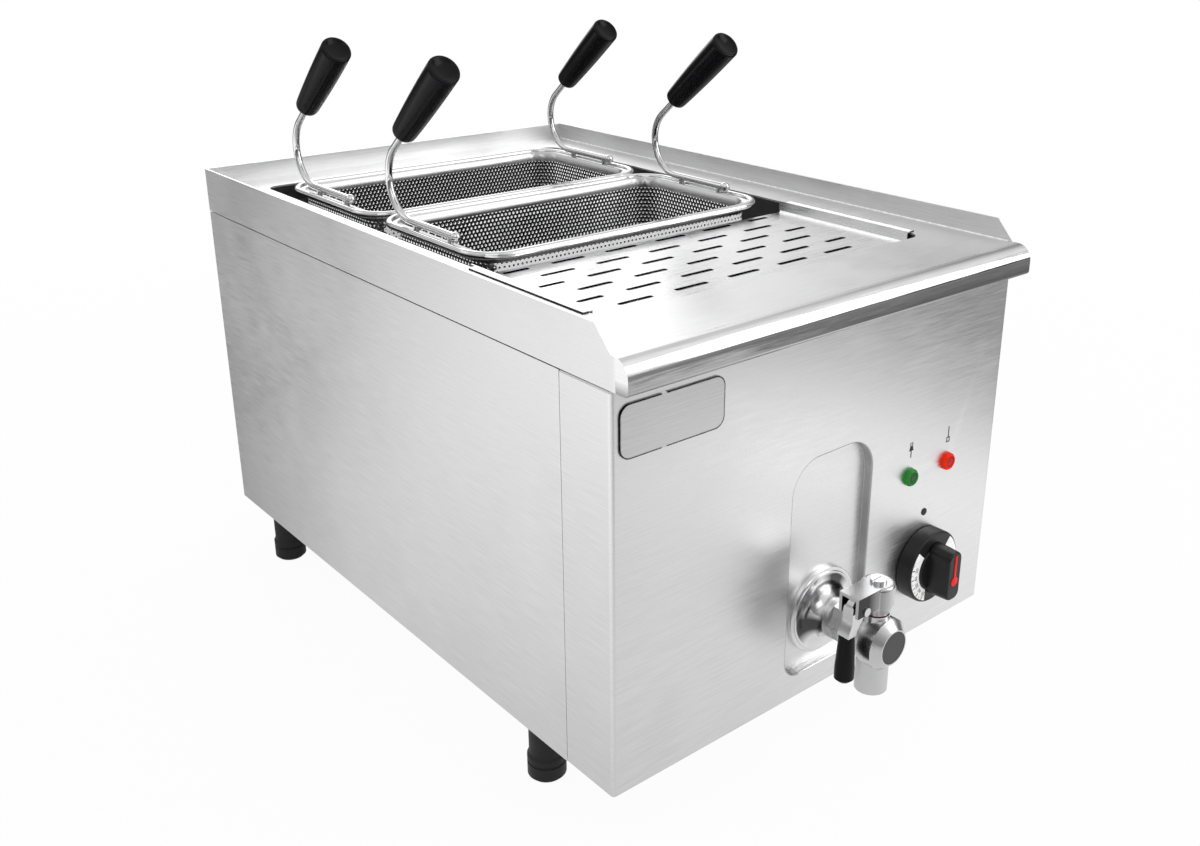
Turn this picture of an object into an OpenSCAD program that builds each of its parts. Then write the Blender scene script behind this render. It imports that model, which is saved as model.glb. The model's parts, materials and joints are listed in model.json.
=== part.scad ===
// Countertop electric pasta cooker: sheet steel casing, welded well, two lift-out
// perforated baskets, a slotted drain tray, a folding-lever drain tap and a thermostat.
// Millimetres. +Z is up, the control panel faces -Y, the feet stand on Z = 0.

/* [Casing] */
// Width of the casing
body_w = 400; // [394:2:440]
// Depth of the casing, front panel to rear panel
body_d = 586; // [580:2:640]
// Height of the front, side and rear panels
panel_h = 290; // [280:2:330]
// Thickness of the casing sheet
panel_t = 1.2; // [1:0.1:1.5]
// How far the front panel wraps round onto each side
front_wrap = 50; // [40:1:70]
// Bend radius of the front panel's upright edges
front_bend = 3; // [2:0.5:6]
// Width of the flanges that stiffen the panels
flange_w = 12; // [10:1:14]
// Open joint between neighbouring panels
seam = 0.8; // [0.3:0.1:0.9]
// Slack round a panel that drops in between others
panel_fit = 0.3; // [0.2:0.1:0.6]

/* [Top] */
// Thickness of the deck sheet
deck_t = 1.5; // [1.2:0.1:2]
// Height of the deck's edge below its surface
skirt_h = 22.5; // [20:0.5:30]
// Height of the upstand round the sides and the back
upstand_h = 16; // [10:1:40]
// Length of the upstand's sloped front end
upstand_slope = 15; // [8:1:30]
// How far the nose stands out in front of the panel
nose_reach = 16; // [14:1:24]
// Radius of the nose's upper edge
nose_r = 12; // [8:1:13]
// Radius of the nose's lower edge
nose_low_r = 3; // [2:0.5:5]

/* [Well] */
// Width of the deck beside the well
deck_side = 39; // [34:1:50]
// Width of the deck behind the well
deck_rear = 38; // [20:1:50]
// Distance of the well from the front panel
well_front = 58; // [54:1:66]
// Corner radius of the well
well_r = 12; // [8:1:16]
// Depth of the well below the deck
well_depth = 190; // [186:2:200]
// Thickness of the well's sheet
tank_t = 1.2; // [1:0.1:1.5]

/* [False bottom] */
// Height of the false bottom above the well's floor
stand_h = 40; // [38:1:44]
// Thickness of the false bottom's sheet
stand_t = 1.5; // [1:0.1:2]
// Gap between the false bottom and the well's walls
stand_gap = 3; // [2:0.5:5]
// Diameter of the false bottom's holes
stand_hole_d = 14; // [8:1:18]
// Spacing of the false bottom's holes
stand_pitch = 40; // [30:1:60]

/* [Baskets] */
// Gap between a basket's rim and the well's side wall
basket_side_gap = 12.5; // [8:0.5:20]
// Depth of a basket over its rim, front to back
basket_d = 162; // [156:1:164]
// Gap between the two baskets' rims
basket_gap = 3; // [2:0.5:6]
// Gap between the rear basket's rim and the well's back wall
basket_rear_gap = 9; // [7:0.5:12]
// Thickness of the basket sheet
basket_t = 1; // [0.8:0.1:1.5]
// Upright corner radius of a basket
basket_r = 20; // [15:1:26]
// Height of a basket's rim above the deck
rim_rise = 0.5; // [0.5:0.5:8]
// Diameter of the rim wire and the handle wire
wire_d = 6; // [5:0.5:7]
// Width of the flat flange between the wall and the rim wire
rim_flange = 5; // [4.5:0.5:8]
// Height of the plain band above the perforations
band_h = 8.5; // [6:0.5:14]
// Diameter of the perforations
perf_d = 7; // [4:0.5:9]
// Spacing of the perforations
perf_pitch = 13; // [11:0.5:20]
// Gap under a basket that stands on the false bottom
stand_clear = 0.3; // [0.3:0.1:1]
// Gap at a welded joint between wire and sheet
weld_gap = 0.1; // [0.05:0.05:0.2]

/* [Handles] */
// Distance of a handle's front end from the basket's front rim
handle_start = 48; // [40:1:56]
// Length of the handle's straight foot
handle_foot = 65; // [55:1:68]
// Height of the foot's middle above the rim flange
handle_lift = 6.5; // [5:0.5:10]
// Distance between the two studs under a foot
stud_pitch = 50; // [40:1:54]
// Diameter of a foot's ball end
ball_d = 8.5; // [7.5:0.5:10]
// Bend radius of the handle
handle_r = 31; // [24:1:32]
// Angle through which the handle bends
handle_bend = 140; // [120:5:150]
// Bare wire between the bend and the grip
handle_neck = 22; // [16:1:30]
// Length of the wire inside the grip
handle_tang = 34; // [25:1:45]
// Length of a grip
grip_l = 85; // [75:1:100]
// Diameter of a grip at its lower end
grip_d1 = 19.5; // [15:0.5:22]
// Diameter of a grip at its outer end
grip_d2 = 25.5; // [22:0.5:28]
// Swell of a grip's middle beyond a straight taper
grip_swell = 0.6; // [0:0.1:1]
// Depth of the dish in a grip's outer end
grip_dish = 2.5; // [1:0.5:4]

/* [Drain tray] */
// Thickness of the tray's sheet
tray_t = 1; // [0.8:0.1:1.5]
// Depth of the tray's plate below the deck
tray_drop = 9; // [7:0.5:12]
// Width of the flange that rests on the deck
tray_lip = 5; // [3:0.5:8]
// Gap between the tray and the well or the front basket
tray_gap = 2; // [1:0.5:4]
// Length of flange left out at the back
tray_notch = 8; // [5:1:14]
// Length of a drain slot
slot_l = 30; // [20:1:36]
// Width of a drain slot
slot_w = 3.5; // [2:0.5:4]
// Spacing of the slots along a row
slot_pitch = 51.5; // [44:0.5:60]
// Spacing of the rows of slots
slot_row = 22; // [16:1:30]
// Length of the short slots that end every second row
slot_short = 22; // [14:1:30]
// Distance of the last row from the tray's back edge
slot_edge = 6.5; // [5:0.5:12]

/* [Tap niche] */
// Width of the pressed niche
niche_w = 84; // [80:1:100]
// Height of the pressed niche
niche_h = 173; // [150:1:190]
// Height of the niche's lower edge above the panel's lower edge
niche_up = 20; // [12:1:26]
// Depth of the niche
niche_deep = 7; // [5:0.5:10]
// Radius of the niche's upper corners
niche_r_top = 26; // [15:1:38]
// Radius of the niche's lower corners
niche_r_low = 15; // [8:1:24]
// Distance of the tap and the niche from the middle of the panel
tap_x = 4; // [-10:1:10]

/* [Drain tap] */
// Height of the tap's axis above the panel's lower edge
tap_up = 62; // [58:1:66]
// Distance of the tap's upright axis from the panel
tap_out = 46; // [44:1:52]
// Radius of the bell flange
bell_r = 34; // [30:0.5:36]
// Length of the bell flange
bell_l = 17; // [14:1:20]
// Radius of the threaded tail
tail_r = 12; // [11:0.5:13]
// Length of the tail behind the panel
tail_in = 23; // [20:1:26]
// Radius of the inlet bore
inlet_r = 8; // [6:0.5:9]
// Width across flats of the hexagonal barrel
barrel_af = 27; // [25:0.5:29]
// Radius of the round valve body
valve_r = 18.5; // [17.5:0.5:20]
// Radius of the front cap
cap_r = 19.6; // [19:0.2:21]
// Distance of the cap's front face from the upright axis
cap_out = 18; // [16:0.5:20]
// Width of the cap's bevel
cap_bevel = 6; // [4:0.5:7]
// Width of the cap's rim round the dark disc
disc_rim = 1.2; // [1:0.1:3]
// Radius of the spout
spout_r = 12; // [11.5:0.5:13]
// Length of the spout below the tap's axis
spout_l = 41; // [34:1:46]
// Radius of the spout's bore
spout_bore_r = 9.5; // [9.2:0.1:10]
// Radius of the neck under the lever head
neck_r = 10; // [9:0.5:12]
// Height of the neck's top above the tap's axis
neck_up = 22; // [20:1:26]

/* [Tap lever] */
// Radius of the turning plug
plug_r = 9; // [8:0.1:9.1]
// Radius of the spindle
spindle_r = 5; // [4:0.5:5.5]
// Thickness of the sealing ring under the lever head
seal_t = 1; // [0.8:0.1:2]
// Width of the lever head
head_w = 17.5; // [16:0.5:20]
// Radius of the lever head's round hub
hub_r = 12.5; // [11:0.5:14]
// Height of the lever head's channel
head_h = 15.5; // [14.5:0.5:18]
// Wall of the lever head
head_wall = 2.5; // [2:0.1:3]
// Distance of the lever's pin from the upright axis
pin_out = 22; // [21:0.5:23]
// Radius of the lever's pin
pin_r = 2; // [1.5:0.1:2.5]
// Height of the pin above the channel's lower edge
pin_low = 3.2; // [3:0.1:4]
// Thickness of the lever
lever_t = 9; // [7:0.5:11]
// Drop of the lever's grip below the pin
lever_drop = 19; // [17:0.5:22]
// Length of the lever's grip
lever_grip_l = 37; // [30:1:40]
// Greatest radius of the lever's grip
lever_grip_r = 7.2; // [6:0.2:9]
// Gap between the lever's grip and the tap's cap as the lever swings round
lever_clear = 0.8; // [0.5:0.1:3]

/* [Controls] */
// Distance of the knob and lamps from the panel's right edge
control_in = 85; // [75:1:95]
// Height of the knob above the panel's lower edge
knob_up = 64.5; // [60:0.5:80]
// Radius of the knob's skirt
knob_r = 30; // [26:0.5:32]
// Depth of the knob's skirt
knob_skirt = 13.5; // [8:0.5:16]
// Width of the knob's grip
knob_grip_w = 18; // [14:0.5:22]
// Height of the knob's front face above the panel
knob_h = 34; // [28:0.5:40]
// Radius of the knob's grip at its base
knob_grip_r = 22; // [20:0.5:22]
// Gap behind a turning knob
knob_gap = 0.5; // [0.3:0.1:1]
// Radius of the thermostat's shaft
shaft_r = 3; // [2.5:0.1:4]
// Height of the lamps above the panel's lower edge
lamp_up = 145.5; // [135:0.5:160]
// Spacing of the two lamps
lamp_pitch = 46; // [30:1:60]
// Radius of a lamp's lens
lamp_r = 7.2; // [6.5:0.1:10]
// Height of a lamp's lens
lamp_h = 4.5; // [3:0.5:7]
// Height of the index mark above the panel's lower edge
index_up = 108; // [100:1:115]
// Radius of the index mark
index_r = 3; // [2:0.5:4]
// Width of the blank badge plate
badge_w = 86; // [60:1:100]
// Height of the blank badge plate
badge_h = 36; // [24:1:40]
// Distance of the badge plate from the panel's left edge
badge_in = 6; // [4:1:20]
// Distance of the badge plate from the panel's upper edge
badge_down = 10; // [6:1:20]

/* [Heating] */
// Radius of a heating element's tube
element_r = 4; // [3:0.5:4.5]
// Half the spacing of an element's two legs
element_half = 30; // [24:1:34]
// Distance of the outermost legs from the well's side walls
element_side = 39; // [34:1:48]
// Height of the elements above the well's floor
element_up = 20; // [14:1:26]
// Gap between the elements' far bends and the well's back wall
element_end = 40; // [20:1:80]
// Length of the elements' cold ends in front of the well
cold_end = 24; // [18:1:26]
// Radius of the thermostat's sensing bulb
bulb_r = 3; // [2:0.5:4]
// Length of the sensing bulb inside the well
bulb_l = 120; // [80:5:160]

/* [Drain pipe] */
// Outer radius of the drain pipe
pipe_r = 13; // [12.5:0.5:14]
// Bore radius of the drain pipe
pipe_bore_r = 10; // [9:0.5:10.5]
// Distance of the drain hole from the front panel
drain_y = 103; // [96:1:112]
// Bend radius of the drain pipe
pipe_bend = 25; // [22:1:30]

/* [Feet] */
// Height of the feet
foot_h = 50; // [40:1:70]
// Radius of a foot's cap
foot_cap_r = 14.5; // [13.5:0.5:16]
// Radius of a foot's stem
foot_stem_r = 13; // [10:0.5:13]
// Height of a foot's cap
foot_cap_h = 21; // [15:1:28]
// Distance of the feet from the casing's sides
foot_in = 19; // [17:0.5:30]
// Distance of the front feet from the front panel
foot_front = 102; // [60:1:120]
// Distance of the rear feet from the rear panel
foot_rear = 55; // [40:1:80]
// Radius of a foot's threaded shank
shank_r = 4; // [3:0.5:5]

/* [Cable inlet] */
// Distance of the cable gland from the right edge of the casing
gland_in = 80; // [50:5:100]
// Height of the cable gland above the panel's lower edge
gland_up = 45; // [35:1:80]
// Bore radius of the cable gland
gland_bore_r = 5; // [4:0.5:6]
// Length of the gland behind the rear panel
gland_out = 16; // [12:1:24]

/* [Fits] */
// Radial play of a shaft that turns in its bore
run_fit = 0.05; // [0.02:0.01:0.1]
// Radial play of a piece that passes through a plain hole
hole_fit = 0.15; // [0.1:0.05:0.3]
// Gap between pieces that move past each other
move_gap = 0.3; // [0.3:0.1:0.8]

/* [Hidden] */
$fn = 96;
over = 1;

steel = [0.78, 0.79, 0.80];
bright = [0.86, 0.87, 0.88];
black = [0.06, 0.06, 0.065];
dark = [0.25, 0.25, 0.26];

// Levels and depths
z_body = foot_h;
z_seam = z_body + panel_h;
z_deck = z_seam + skirt_h;
z_panel_top = z_seam - seam;
z_floor = z_deck - well_depth;
z_stand = z_floor + stand_h;
z_base = z_body + 2 * panel_t;
half_w = body_w / 2;
control_x = half_w - control_in;
gland_x = half_w - gland_in;
well_w = body_w - 2 * deck_side;
well_l = body_d - well_front - deck_rear;
well_back = well_front + well_l;
tap_front = tap_out + cap_out;
front_y = (tap_front - body_d - gland_out) / 2;

// Basket places
basket_w = well_w - 2 * basket_side_gap;
z_basket = z_stand + stand_clear;
z_rim = z_deck + rim_rise;
z_flange = z_rim + basket_t / 2;
rim_over = rim_flange + wire_d;
wall_w = basket_w - 2 * rim_over;
wall_d = basket_d - 2 * rim_over;
z_band = z_flange - band_h;
rear_basket_y = well_back - basket_rear_gap - basket_d;
front_basket_y = rear_basket_y - basket_gap - basket_d;
handle_x = wall_w / 2 + rim_flange / 2;
z_handle = z_flange + handle_lift;

// Tap places
hub_h = 7.5;
plug_below = 16;
plug_above = 10;
tap_z = z_body + tap_up;
cap_y = -tap_front;
neck_z = tap_z + neck_up;
head_z = neck_z + seal_t + move_gap;
z_channel = head_z + hub_h;
head_top = z_channel + head_h;
pin_z = z_channel + pin_low;
eye_r = head_h - head_wall - pin_low - 2 * move_gap;
head_l = pin_out + eye_r - move_gap;
disc_r = cap_r - cap_bevel - disc_rim;
grip_out = norm([cap_r, cap_out - cap_bevel]) + lever_clear + lever_grip_r;
chamber_r = plug_r + run_fit;
chamber_low = tap_z - plug_below;
chamber_top = tap_z + plug_above;

// Sheet and wire shapes

// Puts a piece that is drawn from the front panel into the object's frame
module at_home() {
  translate([0, front_y, 0]) children();
}

// Upright sheet facing the front, drawn in X and Z, from depth y to y + t
module facing(y, t) {
  translate([0, y + t, 0]) rotate([90, 0, 0]) linear_extrude(t) children();
}

// Upright sheet facing the side, drawn in Y and Z, from x to x + t
module sideways(x, t) {
  translate([x, 0, 0]) rotate([90, 0, 90]) linear_extrude(t) children();
}

// Turned piece on a front to back axis, drawn as radius and distance towards the front
module turned(x, y, z) {
  translate([x, y, z]) rotate([90, 0, 0]) rotate_extrude() children();
}

// Round bar from front to back
module bar(x, z, y0, y1, r) {
  translate([x, y0, z]) rotate([-90, 0, 0]) cylinder(h = y1 - y0, r = r);
}

// Hexagon bar from front to back, given across its flats
module hex_bar(x, z, y0, y1, af) {
  translate([x, y0, z]) rotate([-90, 0, 0]) cylinder(h = y1 - y0, d = af / cos(30), $fn = 6);
}

// Upright post
module post(x, y, z0, z1, r) {
  translate([x, y, z0]) cylinder(h = z1 - z0, r = r);
}

module mirrored_x() {
  children();
  mirror([1, 0, 0]) children();
}

// Rectangle with round corners, about its middle
module round_rect(w, h, r) {
  square([w - 2 * r, h], center = true);
  square([w, h - 2 * r], center = true);
  for (x = [-1, 1], y = [-1, 1])
    translate([x * (w / 2 - r), y * (h / 2 - r)]) circle(r);
}

// What a round corner of radius r takes away from a square corner at the origin
module corner_waste(r) {
  difference() {
    translate([-over, -over]) square(r + over);
    translate([r, r]) circle(r);
  }
}

// Rounded frame of sheet thickness t, measured over its outside
module sheet_ring(w, h, r, t) {
  difference() {
    round_rect(w, h, r);
    round_rect(w - 2 * t, h - 2 * t, r - t);
  }
}

// Rows of places in staggered order that fit in a field of w by h
function odd_count(run, step) = floor(run / step / 2) * 2 + 1;
function staggered(w, h, step, row_step) = [
  for (j = [0 : odd_count(h, row_step) - 1], i = [0 : odd_count(w, step) - 1 - j % 2])
  let (x = (i - (odd_count(w, step) - 1 - j % 2) / 2) * step)
  let (y = (j - (odd_count(h, row_step) - 1) / 2) * row_step)
  [x, y]
];

// Slot with round ends, about its middle
module slot(l, w) {
  square([l - w, w], center = true);
  for (side = [-1, 1]) translate([side * (l - w) / 2, 0]) circle(w / 2);
}

// Casing

module nose_outline(inset) {
  reach = nose_reach - inset;
  difference() {
    translate([-reach, inset]) square([reach + flange_w, skirt_h - 2 * inset]);
    translate([-reach, inset]) corner_waste(nose_low_r - inset / 2);
    translate([-reach, skirt_h - inset]) mirror([0, 1]) corner_waste(nose_r - inset);
  }
}

module upstand_outline() {
  polygon([
    [0, 0], [body_d, 0], [body_d, skirt_h + upstand_h],
    [upstand_slope, skirt_h + upstand_h], [0, skirt_h]
  ]);
}

module well_outline(grow) {
  translate([0, well_front + well_l / 2])
    round_rect(well_w + 2 * grow, well_l + 2 * grow, well_r + grow);
}

module top_deck() {
  color(steel) at_home() {
    translate([0, 0, z_deck - deck_t]) linear_extrude(deck_t) difference() {
      translate([-half_w, 0]) square([body_w, body_d]);
      well_outline(0);
    }
    translate([0, 0, z_seam]) {
      mirrored_x() sideways(half_w - deck_t, deck_t) {
        upstand_outline();
        nose_outline(0);
      }
      facing(body_d - deck_t, deck_t) translate([-half_w, 0]) square([body_w, skirt_h + upstand_h]);
      difference() {
        sideways(-half_w, body_w) nose_outline(0);
        sideways(-half_w + deck_t, body_w - 2 * deck_t) {
          nose_outline(deck_t);
          translate([flange_w / 2, deck_t]) square([flange_w, skirt_h - 2 * deck_t]);
        }
      }
    }
  }
}

module tank() {
  color(bright) at_home() difference() {
    translate([0, 0, z_floor - tank_t]) linear_extrude(well_depth + tank_t - deck_t) well_outline(tank_t);
    translate([0, 0, z_floor]) linear_extrude(well_depth) well_outline(0);
    post(tap_x, drain_y, z_floor - 2 * tank_t, z_floor + over, pipe_bore_r);
    element_legs() bar(0, 0, well_front - 2 * tank_t, well_front + over, element_r + hole_fit);
    bar(bulb_x, bulb_z, well_front - 2 * tank_t, well_front + over, bulb_r + hole_fit);
  }
}

module niche_outline(grow) {
  w = niche_w + 2 * grow;
  h = niche_h + 2 * grow;
  translate([tap_x, z_body + niche_up - grow]) difference() {
    translate([-w / 2, 0]) square([w, h]);
    for (side = [0, 1]) mirror([side, 0]) {
      translate([-w / 2, 0]) corner_waste(niche_r_low + grow);
      translate([-w / 2, h]) mirror([0, 1]) corner_waste(niche_r_top + grow);
    }
  }
}

module front_plan(inset) {
  difference() {
    translate([-half_w + inset, inset]) square([body_w - 2 * inset, front_wrap + over]);
    for (side = [0, 1]) mirror([side, 0])
      translate([-half_w + inset, inset]) corner_waste(front_bend - min(inset, front_bend / 2));
  }
}

module front_panel() {
  color(steel) at_home() difference() {
    union() {
      difference() {
        translate([0, 0, z_body]) linear_extrude(panel_h - seam) intersection() {
          front_plan(0);
          translate([-half_w, 0]) square([body_w, front_wrap]);
        }
        difference() {
          translate([0, 0, z_body + panel_t]) linear_extrude(panel_h - seam - 2 * panel_t)
            front_plan(panel_t);
          facing(0, niche_deep + panel_t) niche_outline(panel_t);
        }
        translate([-half_w + panel_t, panel_t + flange_w, z_body - over])
          cube([body_w - 2 * panel_t, front_wrap, panel_h + 2 * over]);
      }
    }
    facing(-over, niche_deep + over) niche_outline(0);
    bar(tap_x, tap_z, 0, niche_deep + 2 * panel_t, tail_r + hole_fit);
    bar(control_x, z_body + knob_up, -over, 2 * panel_t, shaft_r + shaft_play);
    lamp_places() bar(0, 0, -over, 2 * panel_t, holder_r + hole_fit);
  }
}

module side_sheet() {
  y0 = front_wrap + seam;
  run = body_d - y0;
  difference() {
    translate([-half_w, y0, z_body]) cube([panel_t + flange_w, run, panel_h - seam]);
    translate([-half_w + panel_t, y0 - over, z_body + panel_t])
      cube([flange_w + over, run - 2 * panel_t + over, panel_h - seam - 2 * panel_t]);
    translate([-half_w + panel_t, body_d - panel_t, z_body - over])
      cube([flange_w + over, panel_t + over, panel_h + 2 * over]);
    rear_screw_places() bar(0, 0, -screw_l, over, screw_r + hole_fit);
    foot_places() post(0, 0, z_body - over, z_base, shank_r + move_gap);
  }
}

module left_side_panel() {
  color(steel) at_home() side_sheet();
}

module right_side_panel() {
  color(steel) at_home() mirror([1, 0, 0]) side_sheet();
}

vent_l = 70;
vent_w = 5;
vent_rows = 6;
vent_step = 14;

module vent_field() {
  for (side = [-1, 1], i = [0 : vent_rows - 1])
    translate([side * vent_l, i * vent_step]) slot(vent_l, vent_w);
}

screw_r = 1.9;
screw_head_r = 3.6;
screw_head_h = 1.8;
screw_l = 8;
screw_rows = 3;

// Screw places in the left flange of the rear panel
module rear_screw_places() {
  for (i = [1 : 2 : 2 * screw_rows])
    translate([-half_w + panel_t + flange_w / 2, body_d, z_body + panel_h * i / screw_rows / 2]) children();
}

module rear_panel() {
  w = body_w - 2 * panel_t - 2 * panel_fit;
  color(steel) at_home() difference() {
    facing(body_d - panel_t, panel_t) difference() {
      translate([-w / 2, z_body]) square([w, panel_h - seam]);
      translate([0, z_body + panel_h / 2]) vent_field();
      translate([gland_x, z_body + gland_up]) circle(gland_tail_r + hole_fit);
    }
    mirrored_x() rear_screw_places() bar(0, 0, -2 * panel_t, over, screw_r + hole_fit);
  }
}

module rear_screws() {
  color(bright) at_home() mirrored_x() rear_screw_places() {
    bar(0, 0, -screw_l, over / 2, screw_r);
    bar(0, 0, 0, screw_head_h, screw_head_r);
  }
}

module foot_places() {
  for (x = [-1, 1], y = [foot_front, body_d - foot_rear])
    translate([x * (half_w - foot_in), y, 0]) children();
}

module base_plate() {
  w = body_w - 2 * panel_t - 2 * panel_fit;
  y0 = panel_t + panel_fit;
  y1 = body_d - 2 * panel_t - panel_fit;
  color(steel) at_home() difference() {
    translate([-w / 2, y0, z_body + panel_t]) cube([w, y1 - y0, panel_t]);
    translate([0, body_d / 2, z_body]) linear_extrude(z_base - z_body + over) vent_field();
    foot_places() post(0, 0, z_body, z_base + over, shank_r + move_gap);
  }
}

// Heating and sensing

element_pitch = well_w / 2 - element_side - element_half;
element_x = [-element_pitch, 0, element_pitch];
element_z = z_floor + element_up;
bulb_in = 16;
bulb_up = 15;
bulb_x = well_w / 2 - bulb_in;
bulb_z = z_floor + bulb_up;
nut_t = 6;
nut_wall = 4.5;

// Middle of every element leg, on the front panel's plane
module element_legs() {
  for (x = element_x, side = [-1, 1])
    translate([x + side * element_half, 0, element_z]) children();
}

module heating_elements() {
  bend_y = well_back - element_end - element_half;
  color(dark) at_home() {
    element_legs() bar(0, 0, well_front - tank_t - cold_end, bend_y, element_r);
    for (x = element_x)
      translate([x, bend_y, element_z]) rotate_extrude(angle = 180)
        translate([element_half, 0]) circle(element_r);
  }
}

module element_nuts() {
  color("darkgoldenrod") at_home() element_legs() difference() {
    hex_bar(0, 0, well_front - tank_t - nut_t, well_front - tank_t, 2 * (element_r + nut_wall));
    bar(0, 0, well_front - tank_t - nut_t - over, well_front, element_r + hole_fit);
  }
}

module sensor_bulb() {
  color("peru") at_home() bar(bulb_x, bulb_z, well_front - tank_t - cold_end, well_front + bulb_l, bulb_r);
}

module bulb_gland() {
  color("darkgoldenrod") at_home() difference() {
    hex_bar(bulb_x, bulb_z, well_front - tank_t - nut_t, well_front - tank_t, 2 * (bulb_r + nut_wall));
    bar(bulb_x, bulb_z, well_front - tank_t - nut_t - over, well_front, bulb_r + hole_fit);
  }
}

module false_bottom() {
  w = well_w - 2 * stand_gap;
  l = well_l - 2 * stand_gap;
  middle = well_front + well_l / 2;
  leg_l = l - 2 * well_r;
  color(bright) at_home() {
    translate([0, middle, z_stand - stand_t]) linear_extrude(stand_t) difference() {
      round_rect(w, l, well_r);
      for (p = staggered(w - stand_pitch, l - stand_pitch, stand_pitch, stand_pitch))
        translate(p) circle(d = stand_hole_d);
    }
    mirrored_x() translate([w / 2 - stand_t, middle - leg_l / 2, z_floor]) cube([stand_t, leg_l, stand_h]);
  }
}

// Drain

pipe_end = niche_deep + tail_in;

module drain_route(r, extra) {
  post(tap_x, drain_y, tap_z + pipe_bend, z_floor - tank_t + extra, r);
  bar(tap_x, tap_z, pipe_end - extra, drain_y - pipe_bend, r);
  translate([tap_x, drain_y - pipe_bend, tap_z + pipe_bend]) rotate([90, 0, 90]) rotate([0, 0, -90])
    rotate_extrude(angle = 90) translate([pipe_bend, 0]) circle(r);
}

module drain_pipe() {
  color(bright) at_home() difference() {
    drain_route(pipe_r, 0);
    drain_route(pipe_bore_r, over);
  }
}

module tap_locknut() {
  y0 = niche_deep + panel_t;
  color(bright) at_home() difference() {
    hex_bar(tap_x, tap_z, y0, y0 + nut_t, 2 * (tail_r + nut_wall));
    bar(tap_x, tap_z, y0 - over, y0 + nut_t + over, tail_r + hole_fit);
  }
}

// Drain tap

bell_rim = 3.5;
bell_lip = 3;
collar_l = 4;
collar_wall = 3;
bell_foot = 0.8;

module tap_flange() {
  curve = bell_l - bell_rim - bell_foot;
  color(bright) at_home() turned(tap_x, niche_deep, tap_z) difference() {
    union() {
      square([bell_r, bell_rim]);
      difference() {
        square([bell_r - bell_lip, bell_l]);
        translate([tail_r + collar_wall + curve, bell_l]) circle(curve);
      }
    }
    translate([-over, -over]) square([tail_r + hole_fit + over, bell_l + 2 * over]);
  }
}

// Half section of the valve along its inlet, from the tail's end to the cap's face
module valve_outline() {
  axis_d = pipe_end + tap_out;
  cap_d = pipe_end + tap_front;
  collar_d = pipe_end - niche_deep + bell_l;
  square([tail_r, axis_d]);
  translate([0, collar_d]) square([tail_r + collar_wall + bell_foot, collar_l]);
  intersection() {
    translate([0, axis_d]) circle(valve_r);
    translate([0, axis_d - valve_r]) square([valve_r, valve_r]);
  }
  polygon([
    [0, axis_d], [cap_r, axis_d], [cap_r, cap_d - cap_bevel], [cap_r - cap_bevel, cap_d], [0, cap_d]
  ]);
}

module tap_body() {
  collar_y = niche_deep - bell_l - collar_l;
  color(bright) at_home() difference() {
    union() {
      turned(tap_x, pipe_end, tap_z) valve_outline();
      hex_bar(tap_x, tap_z, -tap_out + over, collar_y + over, barrel_af);
      post(tap_x, -tap_out, tap_z - spout_l, tap_z, spout_r);
      post(tap_x, -tap_out, tap_z, neck_z, neck_r);
    }
    bar(tap_x, tap_z, -tap_out, pipe_end + over, inlet_r);
    post(tap_x, -tap_out, tap_z - spout_l - over, chamber_low, spout_bore_r);
    post(tap_x, -tap_out, chamber_low - over, chamber_top, chamber_r);
    post(tap_x, -tap_out, tap_z, neck_z + over, spindle_r + run_fit);
    bar(tap_x, tap_z, cap_y - over, cap_y + disc_sunk + disc_t, disc_r + hole_fit);
  }
}

disc_t = 1.2;
disc_sunk = 0.3;

module tap_cap_disc() {
  color(dark) at_home() bar(tap_x, tap_z, cap_y + disc_sunk, cap_y + disc_sunk + disc_t, disc_r);
}

module tap_seal() {
  color("firebrick") at_home() difference() {
    post(tap_x, -tap_out, neck_z, neck_z + seal_t, neck_r - move_gap);
    post(tap_x, -tap_out, neck_z - over, neck_z + seal_t + over, spindle_r + move_gap);
  }
}

plug_floor = 4;
port_r = 5.5;

module tap_plug() {
  top = chamber_top - move_gap;
  color("darkgoldenrod") at_home() difference() {
    union() {
      post(tap_x, -tap_out, chamber_low + move_gap, top, plug_r);
      post(tap_x, -tap_out, top - over, head_top - head_wall - run_fit, spindle_r);
    }
    post(tap_x, -tap_out, chamber_low - over, top - plug_floor, port_r);
    translate([tap_x, -tap_out, tap_z]) rotate([0, 90, 0]) cylinder(h = plug_r + over, r = port_r);
    post(tap_x, -tap_out, head_top - tap_screw_l, head_top, tap_screw_r + hole_fit);
  }
}

tap_screw_r = 2.5;
tap_screw_l = 14;
tap_screw_head_r = 6;
tap_screw_head_h = 2.5;
tap_screw_slot = 1.4;

module tap_screw() {
  slot_run = 2 * tap_screw_head_r + 2 * over;
  color(bright) at_home() difference() {
    union() {
      post(tap_x, -tap_out, head_top, head_top + tap_screw_head_h, tap_screw_head_r);
      post(tap_x, -tap_out, head_top - tap_screw_l + over, head_top + over, tap_screw_r);
    }
    translate([tap_x - slot_run / 2, -tap_out - tap_screw_slot / 2, head_top + tap_screw_head_h / 2])
      cube([slot_run, tap_screw_slot, tap_screw_head_h]);
  }
}

hub_wall = 1;
hub_round = 3;

// Half section of the head's hub, which swells from the neck and rounds over at the top
module hub_outline() {
  polygon([
    [0, head_z], [neck_r, head_z], [hub_r, z_channel], [hub_r, head_top - hub_round],
    [hub_r - hub_round, head_top], [0, head_top]
  ]);
  intersection() {
    translate([hub_r - hub_round, head_top - hub_round]) circle(hub_round);
    square([hub_r, head_top]);
  }
}

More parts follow.
